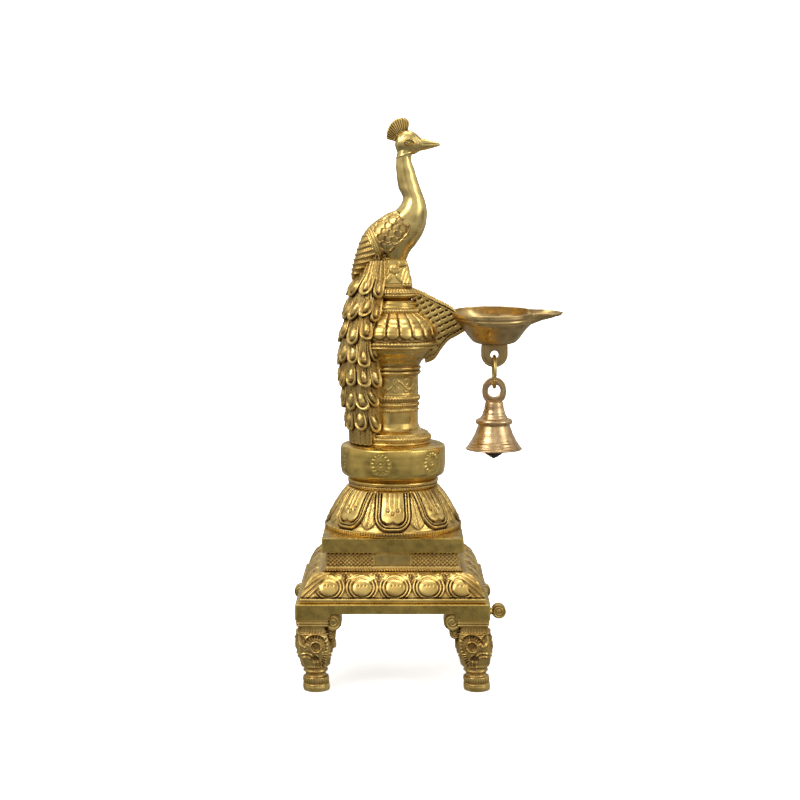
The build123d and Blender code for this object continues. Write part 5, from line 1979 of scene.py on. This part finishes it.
# ---- The lamp arm, the bowl and its lug --------------------------------------------------------------
@dataclass
class LampArm:
    """The bracket from the pillar out to the bowl: a rope border over scaled sides."""

    knots: tuple[float, ...] = (0.0, 0.2, 0.4, 0.6, 0.8, 1.0)
    top_x: tuple[float, ...] = (10.4, 18.0, 25.0, 31.6, 37.0, 40.8)
    top_z: tuple[float, ...] = (249.2, 246.6, 243.0, 239.8, 236.9, 233.6)
    low_x: tuple[float, ...] = (20.2, 26.6, 31.0, 35.6, 41.0, 46.6)
    low_z: tuple[float, ...] = (199.6, 202.4, 208.6, 214.2, 217.4, 220.8)

    def build(self) -> Piece:
        """Build the arm.

        Returns:
            The dressed arm.
        """
        half = (Extent.of("lamp_arm").high[1] - Extent.of("lamp_arm").low[1]) / 2

        def centre(v: Array) -> tuple[Array, Array, Array, Array]:
            """The upper and lower edges at each place along the arm."""
            return (through(self.knots, self.top_x, v), through(self.knots, self.top_z, v),
                    through(self.knots, self.low_x, v), through(self.knots, self.low_z, v))

        def place(u: Array, v: Array) -> Array:
            """Points round each section."""
            tx, tz, lx, lz = centre(v)
            turn = TAU * u
            cap = np.clip(np.minimum(v, 1 - v) / 0.02, 0, 1) ** 0.5
            fat = (np.abs(np.cos(turn)) ** 3.2 + np.abs(np.sin(turn)) ** 3.2) ** (-1 / 3.2)
            up = 0.5 + 0.5 * fat * np.sin(turn) * cap
            across = (half - 1.2 - 0.9 * v) * fat * np.cos(turn) * cap
            return np.column_stack((lx + (tx - lx) * up, across, lz + (tz - lz) * up))

        def relief(u: Array, v: Array) -> Array:
            """The rope border above, the leaf edge below, and the scales between them."""
            points = place(u, v)
            x, z = points[:, 0], points[:, 2]
            tx, tz, lx, lz = centre(v)
            span = np.hypot(tx - lx, tz - lz)
            from_top = np.hypot(tx - x, tz - z)
            from_low = np.hypot(lx - x, lz - z)
            along = (x * 0.88 - z * 0.47)
            on_side = np.abs(points[:, 1]) > half * 0.55
            rope = (1.1 * ridge(from_top - 1.9, 1.7)
                    * (1 + 0.42 * np.cos((along + 0.6 * from_top) * TAU / 1.9)))
            rope_line = -0.9 * groove(from_top - 3.9, 0.5)
            leaf = 0.8 * ridge(from_low - 2.0, 1.6) * (1 + 0.4 * np.cos((z + 0.5 * x) * TAU / 2.3))
            leaf_line = -0.5 * groove(from_low - 3.9, 0.4)
            hatch = scales(nearest(-z * 0.9 + x * 0.44, 3.6) + 0.4, x * 0.9 + z * 0.44, 3.6, 4.2, 1) * 1.15
            inside = soft_step(from_top, 4.2, 0.5) * soft_step(from_low, 4.2, 0.5)
            fade = soft_step(span, 6.0, 2.0)
            top_notch = 0.3 * np.cos(along * TAU / 1.9) * (from_top < 1.2)
            work = np.where(on_side, rope + rope_line + leaf + leaf_line + inside * (hatch - 0.55), top_notch)
            return fade * work

        piece = bent_sheet("lamp_arm_metal", 220, 150, place, relief, flip=True)
        points = read_points(piece.data)
        points[:, 1] = np.clip(points[:, 1], -half + 0.02, half - 0.02)
        write_points(piece.data, points)
        return settle(piece, CARVED, "carved_brass", "lamp", "lamp_arm")


@dataclass
class DiyaBowl:
    """The open bowl with a leaf-shaped spout, two lines under its rim, and the lug below."""

    centre_x: float = 65.2
    radius: float = 25.5
    depth: float = 21.4
    fall: float = 2.4
    wall: float = 1.7
    lug_half: float = 8.65
    lug_thickness: float = 2.6
    hole_radius: float = 2.5
    hole_z: float = 205.4
    arm_side: float = 2.6

    def build(self) -> Piece:
        """Build the bowl and the lug.

        Returns:
            The dressed bowl.
        """
        box = Extent.of("diya_bowl")
        rim = 233.3
        piece = join_pieces("diya_bowl_metal", [self.shell(rim), self.lug(box.bottom, rim - self.depth)])
        return settle(piece, BOWL_BRASS, "polished_brass", "lamp", "diya_bowl")

    def reach(self, turn: Array) -> Array:
        """How far the rim stands from the bowl's axis.

        Args:
            turn: Angle from the spout's direction.

        Returns:
            Distances in millimetres.
        """
        degrees = np.abs(np.degrees(turn))
        knots = (0.0, 3.0, 7.0, 11.2, 15.5, 18.2, 20.5, 24.0, 30.0, 180.0)
        values = (43.97, 43.4, 41.6, 39.2, 35.8, 32.0, 28.4, 26.2, self.radius, self.radius)
        ring = np.interp(degrees, knots, values) * 0.4 + through(knots, values, degrees) * 0.6
        return ring + self.arm_side * soft_step(degrees, 135.0, 90.0)

    def shell(self, rim: float) -> Piece:
        """The bowl and its spout as one wall of even thickness.

        Args:
            rim: The rim's mean height.

        Returns:
            The shell.
        """
        radii = (0.0, 5.0, 9.0, 11.5, 14.0, 17.0, 20.0, 23.0, 24.9, 25.45, 25.5)
        rises = (0.0, 0.0, 0.0, 0.6, 1.75, 5.0, 9.2, 12.7, 15.6, 18.4, 21.4)

        def skin(turn: Array, t: Array, inset: Array) -> Array:
            """Points of the wall at share t of the way from the middle to the rim."""
            knots = np.linspace(0, 1, len(radii)) ** 0.9
            radius = through(knots, radii, t)
            rise = through(knots, rises, t)
            spout = ((self.reach(turn) / self.radius - 1.0)
                     * soft_step(rise, 15.4 + 1.2 * np.abs(np.cos(turn)), 9.0))
            tuck = inset * np.clip(radius / 12.0, 0, 1) * (0.55 + 0.45 * soft_step(rise, 12.0, 8.0))
            lift = inset * (1 - 0.75 * soft_step(rise, 12.0, 12.0))
            out = radius * (1.0 + spout) - tuck
            slope = self.fall / self.radius * np.sin(turn) * out * soft_step(rise, 10.7, 18.0)
            droop = -0.5 * soft_step(out, 36.0, 14.0)
            height = np.minimum(rim - self.depth + rise + lift, rim + 0.02) + slope + droop
            return np.column_stack((self.centre_x + out * np.cos(turn), out * np.sin(turn), height))

        def place(u: Array, v: Array) -> Array:
            """The outside up to the rim, over it, and down the inside."""
            turn = TAU * u - np.pi
            outside = v < 0.49
            over = (v >= 0.49) & (v <= 0.51)
            t = np.where(outside, v / 0.49, np.where(over, 1.0, (1 - v) / 0.49))
            bend = np.clip((v - 0.49) / 0.02, 0, 1)
            inset = self.wall * (0.5 - 0.5 * np.cos(np.pi * bend))
            points = skin(turn, np.clip(t, 0, 1), inset)
            points[:, 2] -= np.where(over, 0.0, 0.25 * groove(np.abs(v - 0.5) - 0.01, 0.006))
            return points

        def lines(u: Array, v: Array) -> Array:
            """The two turned lines under the rim, the file marks, and the worn inside."""
            points = place(u, v)
            below = rim + self.fall / self.radius * points[:, 1] - points[:, 2]
            outside = v < 0.485
            cut = -0.34 * (groove(below - 3.2, 0.34) + 0.8 * groove(below - 5.5, 0.3))
            step = 0.22 * (1 - soft_step(below, 3.1, 0.3)) - 0.22
            return np.where(outside, cut + step + 0.05 * wander(points, 15.0, 1.0),
                            0.05 * wander(points, 9.0, 2.0))

        return bent_sheet("diya_shell", 260, 130, place, lines, flip=False)

    def lug(self, bottom: float, bowl_bottom: float) -> Piece:
        """The lug with its eye.

        Args:
            bottom: Its lowest height.
            bowl_bottom: Where the bowl's bottom is.

        Returns:
            The lug.
        """
        below = self.hole_z - bottom
        above = bowl_bottom + 1.0 - self.hole_z

        def outline(turn: Array) -> Array:
            """Distance from the eye's centre to the edge."""
            up = np.sin(turn) > 0
            power = np.where(up, 9.0, 1.95)
            tall = np.where(up, above, below)
            return ((np.abs(np.cos(turn) / self.lug_half) ** power
                     + np.abs(np.sin(turn) / tall) ** power) ** (-1 / power))

        return eyed_plate("diya_lug", (self.centre_x, self.hole_z), self.hole_radius, self.lug_thickness,
                          outline)


def eyed_plate(name: str, centre: tuple[float, float], hole: float, thickness: float,
               outline: Callable[[Array], Array]) -> Piece:
    """An upright plate across Y with a round eye and soft edges.

    Args:
        name: The object's name.
        centre: The eye's (x, z).
        hole: The eye's radius.
        thickness: The plate's thickness.
        outline: Distance from the eye's centre to the edge, by angle.

    Returns:
        The plate.
    """

    def place(u: Array, v: Array) -> Array:
        """Points round the plate's closed section."""
        turn = TAU * u
        far = outline(turn)
        bow = TAU * v
        fat = (np.abs(np.cos(bow)) ** 7 + np.abs(np.sin(bow)) ** 7) ** (-1 / 7)
        reach = (far + hole) / 2 + (far - hole) / 2 * np.cos(bow) * fat
        swell = 1.0 - 0.10 * groove(reach - far + 1.6, 0.4)
        y = thickness / 2 * np.sin(bow) * fat * swell
        return np.column_stack((centre[0] + reach * np.cos(turn), y, centre[1] + reach * np.sin(turn)))

    return bent_sheet(name, 96, 48, place)


# ---- The ring and the bell ---------------------------------------------------------------------------
@dataclass
class BellSet:
    """The split wire ring, the turned bell with its loop, and the dark clapper."""

    centre_x: float = 65.2
    ring_radius: float = 10.0
    wire_radius: float = 1.15
    ring_split: float = math.radians(8.0)
    split_turn: float = math.radians(200.0)
    bell_bottom: float = 144.0
    hole_z: float = 182.15
    hole_radius: float = 3.95
    loop_half: float = 7.8
    loop_thickness: float = 3.2

    def build(self) -> list[Piece]:
        """Build the ring, the bell and the clapper."""
        return [self.ring(), self.bell(), self.clapper()]

    def ring(self) -> Piece:
        """The bent wire ring, its ends not quite meeting.

        Returns:
            The dressed ring.
        """
        box = Extent.of("bell_ring")
        middle = (box.bottom + box.top) / 2

        def place(u: Array, v: Array) -> Array:
            """Points round the wire, pinched at its ends."""
            turn = self.split_turn + self.ring_split / 2 + (TAU - self.ring_split) * v
            end = np.sqrt(np.clip(np.minimum(v, 1 - v) / 0.008, 0, 1))
            bow = TAU * u
            reach = self.ring_radius + (self.wire_radius - 0.02) * end * np.cos(bow)
            across = (self.wire_radius - 0.02) * end * np.sin(bow)
            return np.column_stack((self.centre_x + across, reach * np.cos(turn), middle
                                    + reach * np.sin(turn)))

        piece = bent_sheet("bell_ring_wire", 24, 220, place)
        return settle(piece, WIRE_BRASS, "wire_brass", "bell_ring_body", "bell_ring")

    def bell(self) -> Piece:
        """The bell's turned wall and its flat loop.

        Returns:
            The dressed bell.
        """
        low = self.bell_bottom
        outside = profile_of(
            (16.4, low), (17.9, low, 0.0), (18.35, low + 0.5, 0.1), (18.1, low + 1.1, 0.1),
            (17.3, low + 1.8, 0.0),
            (16.6, low + 2.9, 0.15), (15.9, low + 4.0, 0.0), (15.3, low + 4.9, 0.15), (14.6, low + 6.2, 0.0),
            (13.5, low + 8.2, -0.1), (12.5, low + 10.3, -0.05), (11.6, low + 12.4, 0.0),
            (10.7, low + 14.8, 0.0),
            (10.25, low + 16.0, 0.0), (11.1, low + 16.5, 0.05), (11.85, low + 17.6, 0.2),
            (11.95, low + 18.8, 0.15),
            (11.2, low + 19.7, 0.15), (10.0, low + 20.0, 0.0), (9.2, low + 20.5, 0.0),
            (8.5, low + 21.6, -0.1),
            (7.4, low + 24.2, -0.3), (6.3, low + 28.3, -0.25), (5.8, low + 30.4, 0.0), (5.3, low + 31.2, 0.1),
            (0.0, low + 31.3, 0.0), pitch=0.34)
        inside = profile_of((0.0, low + 24.4), (5.2, low + 24.4, 0.0), (8.1, low + 17.0, 0.3),
                            (9.0, low + 15.0, 0.0),
                            (11.0, low + 11.0, 0.1), (13.4, low + 5.4, 0.1), (16.4, low, 0.1), pitch=0.7)
        skin = turned("bell_skin", outside[::-1] + inside[::-1][1:], 200, self.centre_x)

        def lathe(points: Array) -> Array:
            """The turned lines of the skirt and fine tool marks."""
            turn, radius = polar(points, self.centre_x)
            rise = points[:, 2] - low
            out = radius > 5.2 + (24.0 - rise) * 0.3
            cuts = sum(depth * groove(rise - level, 0.2) for level, depth in
                       ((2.2, 0.34), (3.4, 0.26), (5.5, 0.3), (8.6, 0.18), (9.6, 0.26), (10.6, 0.2),
                        (16.1, 0.3), (20.2, 0.3)))
            marks = (0.02 * np.sin(rise * 21.0 + 2.0 * np.sin(turn))
                     + 0.03 * np.sin(rise * 9.0 + np.sin(turn + 1.0)))
            return out * (marks - cuts - 0.03)

        emboss(skin, lathe)

        def outline(turn: Array) -> Array:
            """Distance from the loop's eye to its edge."""
            up = np.sin(turn) > 0
            power = np.where(up, 2.25, 2.6)
            tall = np.where(up, 8.75, 8.2)
            return ((np.abs(np.cos(turn) / self.loop_half) ** power
                     + np.abs(np.sin(turn) / tall) ** power) ** (-1 / power))

        loop = eyed_plate("bell_loop", (self.centre_x, self.hole_z), self.hole_radius, self.loop_thickness,
                          outline)
        piece = join_pieces("bell_metal", [skin, loop])
        return settle(piece, BELL_METAL, "bell_brass", "bell_body", "bell")

    def clapper(self) -> Piece:
        """The rough dark clapper: a pointed bob on a short rod and a wire eye.

        Returns:
            The dressed clapper.
        """
        box = Extent.of("clapper")
        low, top = box.bottom, box.top
        eye_radius, wire = 2.6, 0.8
        profile = profile_of((0.0, low), (0.5, low + 0.05, 0.0), (1.2, low + 0.7, 0.1),
                             (3.7, low + 2.1, 0.15),
                             (6.4, low + 4.2, 0.2), (7.1, low + 5.8, 0.15), (6.6, low + 7.6, 0.3),
                             (4.6, low + 9.4, 0.3),
                             (1.0, low + 10.4, 0.1), (0.9, top - 5.9, 0.0), (0.0, top - 5.9, 0.0), pitch=0.4)
        bob = turned("clapper_bob", profile, 72, self.centre_x)
        emboss(bob, lambda points: 0.10 * wander(points, 4.0, 1.4) - 0.1)

        def place(u: Array, v: Array) -> Array:
            """Points round the wire eye."""
            turn, bow = TAU * v, TAU * u
            reach = eye_radius + (wire - 0.01) * np.cos(bow)
            return np.column_stack((self.centre_x + reach * np.cos(turn), (wire - 0.01) * np.sin(bow),
                                    top - eye_radius - wire + reach * np.sin(turn)))

        piece = join_pieces("clapper_metal", [bob, bent_sheet("clapper_eye", 16, 60, place)])
        return settle(piece, CLAPPER_METAL, "clapper_iron", "clapper_body", "clapper")


@dataclass
class TieParts:
    """The hidden rod, washer and nut under the stool, and the clapper's staple, kept as they were cut."""

    steel: tuple[str, ...] = ("tie_rod", "tie_washer", "tie_nut")
    staple: str = "clapper_hanger"

    def dress(self) -> None:
        """Give each kept node its metal."""
        for node in self.steel:
            self.paint(node, ROD_STEEL)
        self.paint(self.staple, WIRE_BRASS)

    def paint(self, node: str, finish: MetalFinish) -> None:
        """Give one node its finish.

        Args:
            node: The CAD node.
            finish: Its metal.
        """
        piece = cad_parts[node]
        piece.data.materials.clear()
        piece.data.materials.append(finish.material())
        LOG.info("%s: kept, %s", node, finish.name)


# ---- The studio --------------------------------------------------------------------------------------
@dataclass
class Softbox:
    """One soft light of the studio."""

    name: str
    place: tuple[float, float, float]
    aim: tuple[float, float, float]
    size: tuple[float, float]
    power: float

    def build(self) -> Piece:
        """Hang the light and turn it to its aim.

        Returns:
            The light's object.
        """
        lamp = bpy.data.lights.new(self.name, "AREA")
        lamp.shape = "RECTANGLE"
        lamp.size, lamp.size_y = self.size
        lamp.energy = self.power
        light = bpy.data.objects.new(self.name, lamp)
        light.location = self.place
        light.rotation_euler = (Vector(self.aim) - Vector(self.place)).to_track_quat("-Z", "Y").to_euler()
        bpy.context.scene.collection.objects.link(light)
        return light


@dataclass
class Studio:
    """The pale floor and backdrop, the soft lights and the camera."""

    distance: float = 0.9917
    height: float = 0.2838
    side: float = 0.0045
    pitch: float = math.radians(6.2)
    lens: float = 69.6

    def build(self) -> None:
        """Set up the whole studio."""
        self.world()
        self.backdrop()
        for light in (
            Softbox("key_light", (-0.75, -0.75, 1.15), (0.0, 0.0, 0.20), (0.6, 0.7), 7.5),
            Softbox("fill_light", (1.05, -0.55, 0.75), (0.0, 0.0, 0.18), (0.5, 0.8), 3.2),
            Softbox("top_light", (0.05, 0.10, 1.35), (0.0, 0.0, 0.15), (0.7, 0.4), 4.5),
            Softbox("back_light", (0.2, 1.5, 1.3), (0.0, 2.2, 0.4), (1.6, 1.0), 24.0),
        ):
            light.build()
        self.camera()

    def world(self) -> None:
        """The dim room that the brass reflects: darker below, lighter above, in soft patches."""
        world = bpy.data.worlds.new("studio_world")
        world.use_nodes = True
        tree = world.node_tree
        place = tree.nodes.new("ShaderNodeTexCoord").outputs["Generated"]
        cloud = tree.nodes.new("ShaderNodeTexNoise")
        cloud.inputs["Scale"].default_value = 2.3
        cloud.inputs["Detail"].default_value = 1.0
        tree.links.new(place, cloud.inputs["Vector"])
        split = tree.nodes.new("ShaderNodeSeparateXYZ")
        tree.links.new(place, split.inputs[0])
        height = tree.nodes.new("ShaderNodeMapRange")
        for socket, value in (("From Min", -0.55), ("From Max", 0.55), ("To Min", 0.22), ("To Max", 0.58)):
            height.inputs[socket].default_value = value
        tree.links.new(split.outputs["Z"], height.inputs["Value"])
        patches = tree.nodes.new("ShaderNodeMapRange")
        for socket, value in (("From Min", 0.36), ("From Max", 0.64), ("To Min", 0.45), ("To Max", 1.75)):
            patches.inputs[socket].default_value = value
        tree.links.new(cloud.outputs["Fac"], patches.inputs["Value"])
        product = tree.nodes.new("ShaderNodeMath")
        product.operation = "MULTIPLY"
        tree.links.new(height.outputs["Result"], product.inputs[0])
        tree.links.new(patches.outputs["Result"], product.inputs[1])
        background = tree.nodes["Background"]
        background.inputs["Color"].default_value = (1.0, 0.99, 0.96, 1.0)
        tree.links.new(product.outputs[0], background.inputs["Strength"])
        bpy.context.scene.world = world

    def backdrop(self) -> None:
        """A pale sheet that sweeps up behind the lamp."""
        bm = bmesh.new()
        left, right = -2.6, 2.6
        path = [(-1.6, 0.0), (0.9, 0.0)]
        path += [(0.9 + 0.8 * math.sin(turn), 0.8 - 0.8 * math.cos(turn))
                 for turn in (math.pi / 2 * step / 16 for step in range(1, 17))]
        path += [(1.7, 3.2)]
        verts = [bm.verts.new((left, y, z)) for y, z in path]
        edges = [bm.edges.new(pair) for pair in zip(verts, verts[1:])]
        made = bmesh.ops.extrude_edge_only(bm, edges=edges)
        moved = [item for item in made["geom"] if isinstance(item, bmesh.types.BMVert)]
        bmesh.ops.translate(bm, vec=(right - left, 0, 0), verts=moved)
        sheet = finish_mesh(bm, "studio_backdrop")
        paper = bpy.data.materials.new("backdrop_paper")
        paper.use_nodes = True
        shader = paper.node_tree.nodes["Principled BSDF"]
        shader.inputs["Base Color"].default_value = (0.93, 0.93, 0.93, 1.0)
        shader.inputs["Roughness"].default_value = 0.9
        shader.inputs["Emission Color"].default_value = (1.0, 1.0, 1.0, 1.0)
        shader.inputs["Emission Strength"].default_value = 0.55
        sheet.data.materials.append(paper)
        sheet.visible_glossy = False

    def camera(self) -> None:
        """The camera, a little above the bowl and looking slightly down."""
        data = bpy.data.cameras.new("studio_camera")
        data.lens = self.lens
        data.sensor_width = 36.0
        camera = bpy.data.objects.new("studio_camera", data)
        camera.location = (self.side, -self.distance, self.height)
        camera.rotation_euler = (math.pi / 2 - self.pitch, 0.0, 0.0)
        bpy.context.scene.collection.objects.link(camera)
        bpy.context.scene.camera = camera
        bpy.context.scene.view_settings.view_transform = "Standard"


def main() -> None:
    """Build the lamp from the floor up, then the studio."""
    logging.basicConfig(level=logging.INFO, format="%(name)s: %(message)s")
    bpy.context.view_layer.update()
    StoolLegs().build()
    StoolFrame().build()
    SquareTiers().build()
    LotusDome().build()
    BellyBand().build()
    Pillar().build()
    UpperTiers().build()
    BirdPlinth().build()
    Peacock().build()
    Train().build()
    LampArm().build()
    DiyaBowl().build()
    BellSet().build()
    TieParts().dress()
    Studio().build()


if __name__ == "__main__":
    main()
